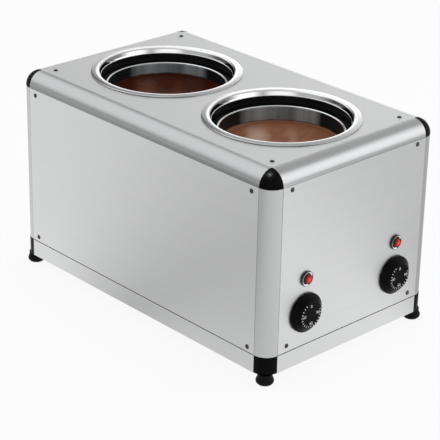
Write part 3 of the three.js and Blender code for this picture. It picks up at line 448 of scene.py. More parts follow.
def pot_metal(side, centre_y, level, smear):
    """Pot steel in its well: fine turned rings, soft upright bands of painted reflection round the wall
    that fade to painted shade on the two flanks, a bright rim and a film of chocolate just above the
    surface of the melt."""
    finish = Finish("pot steel " + side, Specular_IOR_Level=0.12)
    radius = finish.reach(Z, y=centre_y)
    x, y, height = finish.spot(centre_y)
    ring = finish.rings(radius, height, 1.2)
    round_wall = finish.add("ShaderNodeCombineXYZ", inputs={0: x * 0.06, 1: y * 0.06, 2: height * 0.004})
    # The noise, the wave and the band below draw painted reflection bands round the wall, fading to painted
    # shade on the two flanks
    stain_and_painted_bands = finish.noise(1.0, 2.0, 0.6, place=round_wall)
    around = finish.bearing(centre_y) - FLANK_BEARING
    wave = (around * 8 + math.radians(216)).cosine() * 0.2
    band = (around * 2).cosine().step(0.02, 0.4) * ((stain_and_painted_bands - 0.5) * 0.9 + wave + 0.55)
    _, wall_foot = POT_BEND
    inside = (radius.step(POT_RADIUS - 1.0, POT_RADIUS - 0.3, 1.0, 0.0)
              * height.step(wall_foot, wall_foot + 1.0))
    wall = finish.blend((ring - 0.5) * 0.3 + band, (0.005, 0.0065, 0.007), (0.43, 0.47, 0.48))
    rim = finish.blend(ring, (0.72, 0.725, 0.73), 0.86)
    ragged = finish.noise(60.0, 3.0) * 4.0
    film = (height - ragged).step(level - 0.5, level + 1.4, 1.0, 0.0) * inside
    finish.set(Base_Color=finish.blend(film * 0.85, finish.blend(inside, rim, wall), smear),
               Metallic=1 - inside * 0.93, Roughness=inside * 0.2 + film * 0.05 + 0.12)
    return finish.done(ring, 0.006)


PAINTED_REFLECTION_BEARING = math.radians(43.3)  # the way the painted reflections of the pot wall on the chocolate are drawn out


def melted_chocolate(name, centre_y, light, deep, pale, gloss):
    """Melted chocolate: slow folded swirls of a lighter and a deeper tone, soft pale streaks of painted
    reflection of the pot wall drawn out one way, a deeper ring near the wall and a thin pale painted
    highlight where it meets the wall."""
    finish = Finish(name, Specular_IOR_Level=gloss)
    warp = finish.noise(12.0)
    fold = finish.noise(26.0, 3.0, 0.5, 1.6, finish.point((1, 1.7, 1)))
    swirl = (fold * 0.7 + warp * 0.3).step(0.3, 0.72)
    ripple = finish.noise(45.0, 1.0)
    x, y, _ = finish.spot(centre_y)
    # Painted reflection of the pot wall: pale streaks drawn out one way
    sine, cosine = math.sin(PAINTED_REFLECTION_BEARING), math.cos(PAINTED_REFLECTION_BEARING)
    sideways, onward = x * cosine - y * sine + (fold - 0.5) * 16, x * sine + y * cosine
    wide, narrow = [(sideways - middle).size().step(core, edge, strength, 0.0)
                    for middle, core, edge, strength in ((-31, 3, 22, 1.0), (16, 2, 10, 0.3))]
    painted_wall_reflection = (wide + narrow) * (onward - 14).size().step(16, 62, 1.0, 0.0)
    reach, wall = finish.reach(Z, y=centre_y), POT_RADIUS - POT_WALL
    body = finish.blend(reach.step(50, 80, 0.0, 0.6), finish.blend(swirl, deep, light), deep)
    # Painted highlight: a thin pale line where the melt meets the wall
    line = reach.step(wall - 2.4, wall - 0.8, 0.0, 0.35)
    finish.set(Base_Color=finish.blend(line, finish.blend(painted_wall_reflection * 0.8, body, pale), pale),
               Roughness=swirl * 0.08 + 0.16)
    return finish.done(ripple * 0.8 + fold * 0.2, 0.08)


# Main and deep tone of each melt, and the pale tone of its painted reflections and painted highlight
MILK = (0.235, 0.1, 0.056), (0.19, 0.07, 0.034), (0.42, 0.29, 0.215)
DARK = (0.046, 0.009, 0.003), (0.028, 0.005, 0.0018), (0.085, 0.03, 0.016)


def moulding(name, color, lighter, roughness, grain, relief, specular=0.5):
    """Moulded plastic or rubber: a fine grain, slow clouds of tone and gloss, and a faint relief."""
    finish = Finish(name, Specular_IOR_Level=specular)
    fine_grain = finish.noise(grain)
    cloud = finish.noise(45.0, 3.0)
    finish.set(Base_Color=finish.blend(fine_grain * 0.5 + cloud * 0.5, color, lighter),
               Roughness=(cloud - 0.5) * 0.14 + (fine_grain - 0.5) * 0.1 + roughness)
    return finish.done(fine_grain, relief)


corner_gloss = moulding("black corner gloss", 0.001, (0.0025, 0.0025, 0.0026), 0.34, 700.0, 0.002, 0.05)
foot_rubber = moulding("black foot rubber", 0.002, 0.007, 0.55, 1600.0, 0.03, 0.1)
knob_satin = moulding("black knob satin", 0.0015, 0.004, 0.35, 1300.0, 0.02, 0.05)
gland_nylon = moulding("black gland nylon", 0.006, 0.016, 0.5, 900.0, 0.03, 0.35)
brown_moulding = moulding("brown thermostat moulding", (0.075, 0.032, 0.016), (0.13, 0.06, 0.032), 0.5,
                          1100.0, 0.04)
pale_moulding = moulding("pale terminal moulding", (0.66, 0.63, 0.55), (0.78, 0.76, 0.69), 0.5, 1100.0, 0.03)
dial_ink = moulding("white dial ink", 0.78, 0.92, 0.55, 2600.0, 0.01)


def zinc():
    """Zinc-plated steel: crystal-like cells of slightly different grey."""
    finish = Finish("zinc plated steel", Metallic=0.95)
    cell = finish.add("ShaderNodeTexVoronoi", {"feature": "SMOOTH_F1"},
                      {"Vector": finish.point(), "Scale": 190.0, "Smoothness": 0.35})
    cloud = finish.noise(35.0, 4.0)
    finish.set(Base_Color=finish.blend(cell * 0.7 + cloud * 0.5, (0.46, 0.48, 0.48), (0.66, 0.67, 0.66)),
               Roughness=cloud * 0.2 + 0.26)
    return finish.done(cell, 0.02)


zinc_steel = zinc()


def copper():
    """Drawn copper tube: warm metal with fine draw lines and darker heat stains."""
    finish = Finish("drawn copper", Metallic=1.0)
    stain_and_painted_bands = finish.noise(40.0, 4.0, 0.6)
    line = finish.noise(1.0, place=finish.point((900, 40, 900)))
    finish.set(Base_Color=finish.blend(stain_and_painted_bands.step(0.3, 0.8), (0.74, 0.34, 0.2), (0.4, 0.15, 0.08)),
               Roughness=(line - 0.5) * 0.15 + 0.32)
    return finish.done(line, 0.01)


drawn_copper = copper()


def lens_red(side, x):
    """Red lens: pale red in the middle as a painted glow of the lamp, full red round it and dark red
    painted shade at its edge, by shares of its radius."""
    finish = Finish("red lamp lens " + side, Specular_IOR_Level=0.2)
    spark = finish.noise(500.0)
    share = (finish.reach(Y, x=x, z=LAMP_Z) + (spark - 0.5) * 1.6) * (1 / LENS_RADIUS)
    # Painted glow of the lamp in the middle and painted shade at the edge
    red = finish.blend(share.step(0.1, 0.5), (0.98, 0.14, 0.14), (0.66, 0.012, 0.016))
    finish.set(Base_Color=finish.blend(share.step(0.5, 0.8), red, (0.05, 0.001, 0.0015)),
               Roughness=spark * 0.1 + 0.12)
    return finish.done(spark, 0.02)


def bezel_metal(side, x):
    """Lamp ring: bright plating on the inner lip, blackened metal on the outer side, by distance."""
    finish = Finish("lamp ring plating " + side)
    grit = finish.noise(900.0)
    dark = (finish.reach(Y, x=x, z=LAMP_Z) + (grit - 0.5) * 0.2).step(BEZEL_RIM - 0.25, BEZEL_RIM + 0.05)
    finish.set(Base_Color=finish.blend(dark, (0.85, 0.86, 0.87), (0.02, 0.02, 0.022)),
               Metallic=1 - dark * 0.6, Roughness=dark * 0.15 + 0.12)
    return finish.done(grit, 0.004)


def screw_metal():
    """Plated screw head: dull metal, with painted shade in the cross recess and a painted dark reflection
    round the rim, by an attribute.
    """
    finish = Finish("screw head metal")
    shade = finish.add("ShaderNodeAttribute", {"attribute_name": "shade"}, output="Fac")
    grit = finish.noise(900.0)
    # Painted shade in the cross recess and a painted dark reflection round the rim, from the shade attribute
    painted_shade_and_reflection = (shade + (grit - 0.5) * 0.3).step(0.25, 0.75)
    finish.set(Base_Color=finish.blend(painted_shade_and_reflection, 0.14, 0.005),
               Metallic=1 - painted_shade_and_reflection * 0.8, Roughness=painted_shade_and_reflection * 0.3 + 0.25)
    return finish.done(grit, 0.01)


screw_finish = screw_metal()


# Casing

def profile_shell():
    """Section of an edge profile without its flanges: a quarter ring whose two ends stand on the seat of
    the flanges, with small round outer corners."""
    inner, small = EDGE_RADIUS - PROFILE_WALL, 0.25
    meeting = math.degrees(math.acos(BACK / inner))
    lean = math.degrees(small / EDGE_RADIUS)
    corner = arc((EDGE_RADIUS - small, small), small, -90, 0, 3)[:-1]
    outer = arc((0, 0), EDGE_RADIUS, lean, 90 - lean, 28)
    inside = arc((0, 0), inner, 90 - meeting, meeting, 14)
    return np.vstack([[(SEAT, 0)], corner, outer, corner[::-1, ::-1], [(0, SEAT), (0, BACK)], inside,
                      [(BACK, 0)]])


def profile_length(low, high, cuts):
    """A length of edge profile along Z: shell, port tube, web and the two flanges. cuts gives, for the
    flange along +y and the one along +x, how much shorter it is at the low and at the high end."""
    sunk, lap, half = 0.6, 0.4, PORT_WEB / 2
    start, end = PORT_OFFSET * math.sqrt(2) + PORT_RADIUS - sunk, EDGE_RADIUS - PROFILE_WALL / 2
    slant = math.sqrt(0.5)
    web = np.array([(start, -half), (end, -half), (end, half), (start, half)])
    web = web @ np.array([[slant, slant], [-slant, slant]])
    tube = turned([(PORT_BORE, low), (PORT_RADIUS, low), (PORT_RADIUS, high), (PORT_BORE, high),
                   (PORT_BORE, low)], 24)
    flange = np.array([(-FLANGE_WIDTH, BACK), (lap, BACK), (lap, SEAT), (-FLANGE_WIDTH, SEAT)])
    parts = [raised(profile_shell(), low, high), raised(web, low, high),
             moved(tube, (PORT_OFFSET, PORT_OFFSET, 0))]
    for outline, (bottom, top) in zip((flange, flange[:, ::-1]), cuts):
        parts.append(raised(outline, low + bottom, high - top))
    return joined(parts)


def quarter_outline(inset):
    """A quarter disc drawn in by inset: its corner at (i, i) and an arc of radius r - i about the origin."""
    radius = CORNER_RADIUS - inset
    start = math.degrees(math.asin(inset / radius))
    return np.vstack([[(inset, inset)], arc((0, 0), radius, start, 90 - start, 20)])


def end_key(length):
    """The L-shaped key of a corner piece inside the end of a profile, in two bars."""
    far, near = BACK - FIT_GAP, PORT_OFFSET - PORT_RADIUS - FIT_GAP
    return joined([block((KEY_INSET, KEY_INSET, 0), (far, near, length)),
                   block((KEY_INSET, KEY_INSET, 0), (near, far, length))])


def foot_plug_shape():
    """A quarter column with a round lower edge and its key on top. At angle a the edge is drawn in by
    b (1 - sin a) and stands b (1 - cos a) above the foot."""
    bevel, least = 1.6, 0.001
    steps = [(bevel * (1 - math.sin(angle)) + least, TRAY_BOTTOM + bevel * (1 - math.cos(angle)))
             for angle in np.radians(np.linspace(0, 90, 6))]
    sections = []
    for inset, height in steps + [(least, TRAY_TOP)]:
        outline = quarter_outline(inset)
        sections.append(np.hstack([outline, np.full((len(outline), 1), height)]))
    key = moved(end_key(KEY_LENGTH + PROFILE_WALL), (0, 0, TRAY_TOP - PROFILE_WALL))
    return joined([lofted(sections), key])


def top_corner_shape():
    """An eighth of a ball: the point at angle a from +z and b from +x is
    r (sin a cos b, sin a sin b, cos a), closed by three flat quarter discs, with three keys."""
    count = 26
    a = np.radians(np.linspace(0, 90, count + 1))[:, None]
    b = a.T
    ball = CORNER_RADIUS * np.stack([np.sin(a) * np.cos(b), np.sin(a) * np.sin(b), np.cos(a) + 0 * b], -1)
    patches = [(ball.reshape(-1, 3), [grid_faces(count + 1, count + 1)])]
    for edge in (ball[-1], ball[:, 0], ball[:, -1]):
        rim = np.vstack([edge, [(0, 0, 0)]])
        patches.append((rim, [np.arange(len(rim))[None, :]]))
    points, faces = moved(end_key(KEY_LENGTH + PROFILE_WALL), (0, 0, -KEY_LENGTH))
    keys = [(points[:, order], faces) for order in ([X, Y, Z], [Z, Y, X], [X, Z, Y])]
    return joined(patches + keys)


def rubber_foot_shape():
    """A turned foot: flat base, round belly, neck, and the stud in the plug."""
    top, stud_radius, stud_top = TRAY_BOTTOM - FIT_GAP, 3.0, TRAY_BOTTOM + 12.0
    side = smooth([(8.9, 0), (9.9, 0.5), (11.7, 2.6), (12.2, 4.9), (11.5, 7.6), (10.4, 10.2), (10.1, 12.0),
                   (10.2, top)], 5)
    stud = [(stud_radius, top), (stud_radius, stud_top), (0, stud_top)]
    return turned(np.vstack([[(0, 0)], side, stud]), 64)


CORNERS = (("rear_right", 1, 1, 0), ("rear_left", -1, 1, 90), ("front_left", -1, -1, 180),
           ("front_right", 1, -1, -90))
post_shape = profile_length(TRAY_TOP + FIT_GAP, ARC_Z - FIT_GAP, ((0, FLANGE_WIDTH), (0, FLANGE_WIDTH)))
for name, x, y, turn in CORNERS:
    arc_middle = (x * ARC_X, y * ARC_Y, 0)
    foot_middle = (x * (ARC_X + PORT_OFFSET), y * (ARC_Y + PORT_OFFSET), 0)
    make_piece("edge_post_" + name, moved(post_shape, arc_middle, turn), profile_metal["upright"],
               "edge_profile", "post_" + name)
    soften(make_piece("ball_corner_" + name, moved(top_corner_shape(), (x * ARC_X, y * ARC_Y, ARC_Z), turn),
                      corner_gloss, "black_corner", "top_corner_" + name), 0.35)
    soften(make_piece("plug_" + name, moved(foot_plug_shape(), arc_middle, turn), corner_gloss,
                      "black_corner", "foot_plug_" + name), 0.3)
    make_piece("foot_" + name, moved(rubber_foot_shape(), foot_middle), foot_rubber, "rubber_foot",
               "rubber_foot_" + name)

long_half, short_half = ARC_Y - FIT_GAP, ARC_X - FIT_GAP
long_rail = moved(profile_length(-long_half, long_half, ((0, 0), (0, 0))), tip=90)
short_rail = moved(profile_length(-short_half, short_half, ((FLANGE_WIDTH, FLANGE_WIDTH), (0, 0))), tip=90)
for name, shape, tag, place, turn in (
        ("right", long_rail, "along", (ARC_X, 0, ARC_Z), 0),
        ("left", long_rail, "along", (-ARC_X, 0, ARC_Z), 180),
        ("rear", short_rail, "across", (0, ARC_Y, ARC_Z), 90),
        ("front", short_rail, "across", (0, -ARC_Y, ARC_Z), -90)):
    make_piece("edge_rail_" + name, moved(shape, place, turn), profile_metal[tag], "edge_profile",
               "top_rail_" + name)


def seam_shadow_shape():
    """A black strip standing for the shadow in the seam over the skirt, as painted shadow: a thin skin
    outside and a strip that fills the seam, carried round the four sides between the posts."""
    clear, skin, lap, short = 0.01, 0.12, 0.01, 1.5
    low, seam_low, high = TRAY_TOP - 0.45, TRAY_TOP + 0.03, TRAY_TOP + 0.56
    parts = []
    for turn, face, reach in zip(range(0, 360, 90), (FACE_X, FACE_Y) * 2, (ARC_Y, ARC_X) * 2):
        half = reach - short
        outer = block((face + clear, -half, low), (face + clear + skin, half, high))
        seam = block((face - SHEET, -half, seam_low), (face + clear + lap, half, high))
        parts += [moved(outer, turn=turn), moved(seam, turn=turn)]
    return joined(parts)


# Painted shadow: the black strip stands for the shade in the seam between the panels and the skirt
make_piece("seam_shadow_strip", seam_shadow_shape(), foot_rubber, "rubber_foot", heal=0)


# Wells, pots and chocolate

def collar_shape():
    """A turned collar: foot on the panel, a rise to the crest, and a roll that goes over into a steep
    cone down the mouth, which ends in a bead."""
    foot, sheet, corner, foot_width = TOP_Z + FIT_GAP, 0.45, 0.2, 3.5
    edge, under, lip = foot + 0.8, CREST_Z - 0.8, TOP_Z - 6.2
    roll_middle, roll_width, roll_height = (CREST_RADIUS, CREST_Z - 2.6), 3.85, 2.6
    bead_width, bead_height = 0.85, 0.75
    rise = arc((CREST_RADIUS, edge), (COLLAR_RADIUS - CREST_RADIUS, CREST_Z - edge), 6, 90, 14)
    roll = arc(roll_middle, (roll_width, roll_height), 90, 170, 20)[1:]
    inside = arc(roll_middle, (roll_width - sheet, roll_height - 0.8), 168, 90, 12)
    bead = arc((MOUTH_RADIUS + 0.15, lip + bead_height), (bead_width, bead_height), 110, 300, 12)
    base = [(COLLAR_RADIUS - foot_width, under), (COLLAR_RADIUS - foot_width, foot),
            (COLLAR_RADIUS - corner, foot), (COLLAR_RADIUS, foot + corner), (COLLAR_RADIUS, edge - corner)]
    return turned(np.vstack([inside, base, rise, roll, bead, inside[:1]]), 192)


def well_shape():
    """A pressed well: drum with a rounded floor, ledge, upper wall and a flange under the top panel."""
    wall, top = MOUTH_RADIUS + 1.1, TOP_Z - SHEET - FIT_GAP
    outer, ledge_under = wall + SHEET, LEDGE_Z - SHEET
    flange, flange_under, bend, slant = outer + 2.4, top - 0.8, 1.2, (0.5, 1.5)
    middle = (DRUM_RADIUS - DRUM_CORNER, WELL_FLOOR_Z + DRUM_CORNER)
    below = arc(middle, DRUM_CORNER + SHEET, -90, 0, 10)
    above = arc(middle, DRUM_CORNER, 0, -90, 10)
    ledge = arc((wall - bend, LEDGE_Z + bend), bend, 0, -90, 5)
    shoulder = arc((DRUM_RADIUS + bend, LEDGE_Z - bend), bend, 90, 180, 5)
    rim = [(DRUM_RADIUS + SHEET, ledge_under), (outer, ledge_under), (outer, flange_under),
           (flange, flange_under), (flange, top), (wall + slant[0], top), (wall, top - slant[1])]
    return turned(np.vstack([[(0, WELL_FLOOR_Z - SHEET)], below, rim, ledge, shoulder, above,
                             [(0, WELL_FLOOR_Z)]]), 160)


def pot_shape():
    """A pressed pot with a rounded rim turned outwards and down."""
    roll, nose_width, under, hem = 2.6, 2.2, RIM_Z - 3.7, RIM_Z - 5.0
    inner, tuck = POT_RADIUS - POT_WALL, POT_RIM_RADIUS - POT_WALL
    below = arc(POT_BEND, POT_CORNER, -90, 0, 12)
    above = arc(POT_BEND, POT_CORNER - POT_WALL, 0, -90, 12)
    crest = arc((inner + roll, RIM_Z - roll), roll, 90, 180, 8)
    nose = arc((POT_RIM_RADIUS - nose_width, RIM_Z - roll), (nose_width, roll), 0, 90, 8)
    turn_down = [(POT_RADIUS, under), (tuck, under), (tuck, hem), (POT_RIM_RADIUS, hem)]
    return turned(np.vstack([[(0, POT_FLOOR_Z)], below, turn_down, nose, crest, above,
                             [(0, POT_FLOOR_Z + POT_WALL)]]), 160)


def chocolate_shape(level, seed):
    """The melt in a pot. Its surface is the level, plus a rise of c exp((r - R) / w) where it clings to
    the wall, plus slow waves in x and y that die out towards the wall."""
    clear, cling, cling_width, swell = 0.15, 0.9, 2.2, 0.25
    radius, corner = POT_RADIUS - POT_WALL - clear, POT_CORNER - POT_WALL - clear
    reach = radius * np.sin(np.radians(np.linspace(90, 0, 44)))
    surface = np.stack([reach, level + cling * np.exp((reach - radius) / cling_width)], axis=-1)
    points, faces = turned(np.vstack([[(0, POT_FLOOR_Z + POT_WALL + clear)],
                                      arc(POT_BEND, corner, -90, 0, 8), surface]), 128)
    x, y, z = points.T
    along_x, along_y, slanting = 15, 19, 27
    wave = (np.sin(x / along_x + seed) * np.cos(y / along_y - seed)
            + 0.6 * np.sin((x + 1.4 * y) / slanting + 2 * seed))
    open_share = np.clip(1 - (np.hypot(x, y) / radius) ** 4, 0, 1) * (z > level - 1)
    return points + np.stack([0 * x, 0 * y, swell * wave * open_share], axis=-1), faces


for name, y, kind, level, (color, deep, pale), gloss, seed in (
        ("front", -WELL_Y, "milk", MILK_LEVEL, MILK, 0.16, 0.6),
        ("rear", WELL_Y, "dark", DARK_LEVEL, DARK, 0.04, 2.1)):
    place, pot = (0, y, 0), "pot_" + name
    collar_metal = spun_steel("polished collar steel " + name, y, (0.84, 0.845, 0.85), 0.06, 0.4)
    melt = melted_chocolate(kind + " chocolate melt", y, color, deep, pale, gloss)
    make_piece("rolled_collar_" + name, moved(collar_shape(), place), collar_metal, "collar",
               "collar_" + name)
    make_piece("enamel_well_" + name, moved(well_shape(), place), well_enamel, "well", "well_" + name)
    make_piece("melting_pot_" + name, moved(pot_shape(), place), pot_metal(name, y, level, deep), "pot", pot,
               body=pot)
    make_piece("melted_chocolate_" + name, moved(chocolate_shape(level, seed), place), melt,
               kind + "_chocolate", "chocolate_" + name, body=pot, heal=0.0005)


# Knobs, lamps and gland

def knob_shape():
    """A turned dial knob: skirt, sloping side, flat face with a shallow dish, hollow behind."""
    bore, hub, wall, web, edge = 3.3, 6.5, 2.0, 0.3, 0.3
    back, rim, skirt_top, ceiling = 0.8, 3.4, 3.2, KNOB_REACH - 2.5
    skirt_round, face_round, dish, dish_edge = 0.9, 0.6, 0.2, 0.4
    face, face_inner = KNOB_REACH - dish, KNOB_FACE_RADIUS - face_round
    hollow = [(bore, back), (hub, back), (hub, ceiling), (KNOB_FACE_RADIUS - wall, ceiling),
              (KNOB_RADIUS - wall, rim), (KNOB_RADIUS - wall, back), (KNOB_RADIUS - edge, back),
              (KNOB_RADIUS, back + edge)]
    skirt = arc((KNOB_RADIUS - skirt_round, skirt_top), skirt_round, 0, 50, 5)
    slope = arc((face_inner, KNOB_REACH - face_round), face_round, 38, 90, 6)
    lip = arc((face_inner, face), (dish_edge, dish), 90, 180, 4)
    return turned(np.vstack([hollow, skirt, slope, lip, [(0, face), (0, ceiling - web), (bore, ceiling - web),
                                                         (bore, back)]]), 96)


def front_place(shape, x, z):
    """A shape about +Z laid with +Z outwards on the front panel at x and z."""
    return moved(shape, (x, -FACE_Y, z), tip=90)


def text_shape(words, height, thickness):
    """Plain numerals as flat plates, centred on the origin, taken from a text object."""
    curve = bpy.data.curves.new("numerals", "FONT")
    curve.body = words
    curve.size = height
    curve.align_x, curve.align_y = "CENTER", "CENTER"
    curve.extrude = thickness / 2
    curve.resolution_u = 3
    source = placed("numerals", curve)
    bpy.context.view_layer.update()
    mesh = bpy.data.meshes.new_from_object(source.evaluated_get(bpy.context.evaluated_depsgraph_get()))
    points = np.array([vertex.co for vertex in mesh.vertices])
    faces = [np.array([list(p.vertices)]) for p in mesh.polygons]
    bpy.data.objects.remove(source)
    bpy.data.curves.remove(curve)
    bpy.data.meshes.remove(mesh)
    return points, faces


def dial_marks():
    """Numbers and ticks of the dial on the knob's face, seen with the zero at the top."""
    level, figure_height, figure_ring, plate = KNOB_REACH - 0.15, 6.0, 12.2, 0.12
    tick_start, tick_end, tick_half, tick_rise = 15.2, 17.9, 0.45, 0.1
    parts = []
    for words, angle in (("0", 90), ("30", 180), ("60", 270), ("90", 0)):
        a = math.radians(angle)
        place = (figure_ring * math.cos(a), figure_ring * math.sin(a), level)
        parts.append(moved(text_shape(words, figure_height, plate), place))
    tick = block((tick_start, -tick_half, level - tick_rise), (tick_end, tick_half, level + tick_rise))
    parts += [moved(tick, turn=angle) for angle in np.linspace(120, 375, 18)]
    return joined(parts)


def bezel_shape():
    """A turned lamp bezel: neck, upright side, a narrow rounded rim and the mouth that holds the lens."""
    bore, neck, side, mouth, seat, end = 4.4, 6.0, 10.6, 8.9, 1.2, -9.0
    top, rim_drop, lip_round = 3.2, 0.7, 0.6
    rim = arc((BEZEL_RIM, top - rim_drop), (side - BEZEL_RIM, rim_drop), 0, 90, 6)
    lip = arc((mouth + lip_round, top - lip_round), lip_round, 90, 180, 5)
    return turned(np.vstack([[(bore, end), (neck, end), (neck, FIT_GAP), (side, FIT_GAP)], rim, lip,
                             [(mouth, seat), (bore, seat), (bore, end)]]), 64)


def lens_shape():
    """A six-sided lens: an upright band, six slopes and a flat table, on a round stem."""
    base, band, top, stem, stem_end, stem_top = 1.5, 2.7, 5.7, 4.1, -4.5, 2.0
    table = LENS_RADIUS * 0.6
    cut = turned([(0, base), (LENS_RADIUS, base), (LENS_RADIUS, band), (table, top), (0, top)], 6)
    return joined([cut, turned([(0, stem_end), (stem, stem_end), (stem, stem_top), (0, stem_top)], 24)])


for side, x in (("left", -CONTROL_X), ("right", CONTROL_X)):
    knob = "knob_" + side
    make_piece("dial_" + knob, front_place(knob_shape(), x, KNOB_Z), knob_satin, "knob", knob, body=knob)
    make_piece("dial_marks_" + side, front_place(dial_marks(), x, KNOB_Z), dial_ink, "knob", body=knob,
               heal=0.0001)
    make_piece("chrome_bezel_" + side, front_place(bezel_shape(), x, LAMP_Z), bezel_metal(side, x),
               "lamp_bezel", "lamp_bezel_" + side)
    soften(make_piece("red_lens_" + side, front_place(lens_shape(), x, LAMP_Z), lens_red(side, x),
                      "lamp_lens", "lamp_lens_" + side, crease=20), 0.2, angle=25)


def gland_shape():
    """A turned cord gland: neck, grip ring and domed nut. At angle t the side of the ring is drawn in by
    the share d (1 + cos 24 t) / 2."""
    bore, neck, ring, nut, crown = 3.8, 7.6, 11.0, 9.0, 6.6
    end, nut_low, nut_high, top = -11.0, 5.3, 6.5, 11.5
    edge, corner, mouth, wave_depth = 0.3, 0.4, 0.6, 0.03
    dome = arc((crown, nut_high), (nut - crown, top - nut_high), 0, 90, 10)
    points, faces = turned(np.vstack([
        [(bore, end), (neck, end), (neck, FIT_GAP), (ring - edge, FIT_GAP), (ring, FIT_GAP + edge),
         (ring, nut_low - corner), (ring - corner, nut_low), (nut, nut_low), (nut, nut_high)], dome,
        [(bore + mouth, top), (bore, top - mouth), (bore, end)]]), 144)
    x, y, z = points.T
    grip = (z > FIT_GAP) & (z < nut_low) & (np.hypot(x, y) > nut)
    share = 1 - grip * wave_depth * (0.5 + 0.5 * np.cos(24 * np.arctan2(y, x)))
    return np.stack([x * share, y * share, z], axis=-1), faces


make_piece("rear_gland", moved(gland_shape(), (GLAND_X, FACE_Y, GLAND_Z), tip=-90), gland_nylon, "gland",
           "cord_gland")


# Screws

def screw_shape(turn):
    """A domed head on a polar grid: height h (1 - (r / R) ** 2.4), less the depth of a cross of two bars,
    with a painted dark rim. Returns the points, the faces and the shade of each point: painted shade in
    the cross and a painted dark reflection round the rim."""
    radius, height, depth, rings, around = 3.4, 1.5, 0.9, 16, 40
    bar_half, bar_end, bar_slope, end_slope = 0.55, 1.75, 0.15, 0.2
    sunk, foot_share, dark_share, dark_width = -0.05, 0.985, 0.62, 0.12
    share = np.concatenate([[1.0], np.linspace(foot_share, 0, rings)])[:, None]
    angle = np.arange(around) * 2 * math.pi / around
    x, y = radius * share * np.cos(angle), radius * share * np.sin(angle)
    near, far = np.minimum(abs(x), abs(y)), np.maximum(abs(x), abs(y))
    cross = np.clip((bar_half - near) / bar_slope, 0, 1) * np.clip((bar_end - far) / end_slope, 0, 1)
    z = height * (1 - share ** 2.4) + 0 * x - depth * cross
    z[0] = sunk
    # Painted dark reflection round the rim of the dome; with the cross it makes the shade attribute
    dark = np.clip((share - dark_share) / dark_width, 0, 1) + 0 * x
    points = np.stack([x, y, z], axis=-1).reshape(-1, 3)
    shape = moved((points, [grid_faces(rings + 1, around, wrap=True)]), turn=turn)
    return shape, np.maximum(cross, dark).reshape(-1)


def four(half_width, low, high):
    """The four places at both half widths, low and high."""
    return [(x, y) for x in (-half_width, half_width) for y in (low, high)]


end_places, flank_places = four(117.0, 50.5, 270.5), four(220.0, 48.5, 268.0)
for name, places, offset, turn, tip in (
        ("top", four(118.5, -218.5, 218.5), (0, 0, TOP_Z), 0, 0),
        ("front", end_places, (0, -FACE_Y, 0), 0, 90), ("rear", end_places, (0, FACE_Y, 0), 180, 90),
        ("left", flank_places, (-FACE_X, 0, 0), -90, 90), ("right", flank_places, (FACE_X, 0, 0), 90, 90)):
    shapes, shades = zip(*[screw_shape(17 + 31 * i) for i in range(len(places))])
    heads = joined([moved(shape, (x, y, 0)) for shape, (x, y) in zip(shapes, places)])
    piece = make_piece("screws_" + name, moved(heads, offset, turn, tip), screw_finish, "casing", heal=0)
    attribute = piece.data.attributes.new("shade", "FLOAT", "POINT")
    attribute.data.foreach_set("value", np.concatenate(shades).astype(np.float32))

# Solids that keep their shape and get their finish here
KEPT = {"front_panel": panel_steel["across"], "rear_panel": panel_steel["across"],
        "left_panel": panel_steel["along"], "right_panel": panel_steel["along"],
        "top_panel": panel_steel["top"], "base_tray": panel_steel["along"],
        "gland_locknut": gland_nylon, "terminal_block": pale_moulding}
for side in ("front", "rear"):
    KEPT["well_retainer_" + side] = KEPT["band_heater_" + side] = zinc_steel
for side in ("left", "right"):
    KEPT["thermostat_shaft_" + side] = zinc_steel
    KEPT["thermostat_" + side] = brown_moulding
    KEPT["capillary_" + side] = drawn_copper
    KEPT["lamp_body_" + side] = pale_moulding
for node, finish in KEPT.items():
    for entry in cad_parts[node].material_slots:
        entry.material = finish


# Camera at the photograph's angle: turned round the target, raised, and rolled about its line of sight

AZIMUTH, ELEVATION, ROLL = [math.radians(angle) for angle in (-43.3, 24.47, -1.2)]
DISTANCE, TARGET, FOCAL_PIXELS, FRAME_PIXELS = 2.4, (-0.06547, -0.06958, 0.15), 1768.1, 440
lens = bpy.data.cameras.new("camera")
lens.sensor_fit = "HORIZONTAL"
lens.sensor_width = 36.0
lens.lens = FOCAL_PIXELS / FRAME_PIXELS * lens.sensor_width
lens.clip_start, lens.clip_end = 0.05, 50.0
camera = placed("camera", lens)
camera.matrix_world = (Matrix.Translation(TARGET) @ Matrix.Rotation(AZIMUTH, 4, "Z")
                       @ Matrix.Rotation(math.pi / 2 - ELEVATION, 4, "X") @ Matrix.Rotation(-ROLL, 4, "Z")
                       @ Matrix.Translation((0, 0, DISTANCE)))
bpy.context.scene.camera = camera


# Studio

WHITE = (1.0, 1.0, 1.0, 1.0)
FILL_LIGHT = 0.62
SKY = (0.42, 0.57)  # tone that metal sees level with the floor and high up
# Soft boxes that metal sees: direction, cosines where the lobe starts and is full, and its strength
SOFT_BOXES = (((-0.2, 0.66, 0.72), 0.7, 0.92, 0.62), ((0.62, -0.77, 0.12), 0.6, 0.93, 1.05),
              ((-0.69, -0.73, 0.05), 0.85, 0.98, 0.6), ((0.42, 0.87, 0.27), 0.93, 0.985, -0.4),
              ((0.88, 0.4, 0.25), 0.93, 0.985, 0.4), ((0.66, 0.74, 0.12), 0.945, 0.985, 1.0))
# Tone of the floor that metal sees, by bearing in degrees
FLOOR_IN_METAL = ((-180, 0.54), (-157, 0.64), (-120, 0.74), (-76, 0.82), (-65, 0.84), (-53, 0.5), (-20, 0.56),
                  (20, 0.6), (45, 0.85), (75, 0.64), (125, 0.84), (132, 0.82), (146, 0.65), (165, 0.51),
                  (180, 0.54))


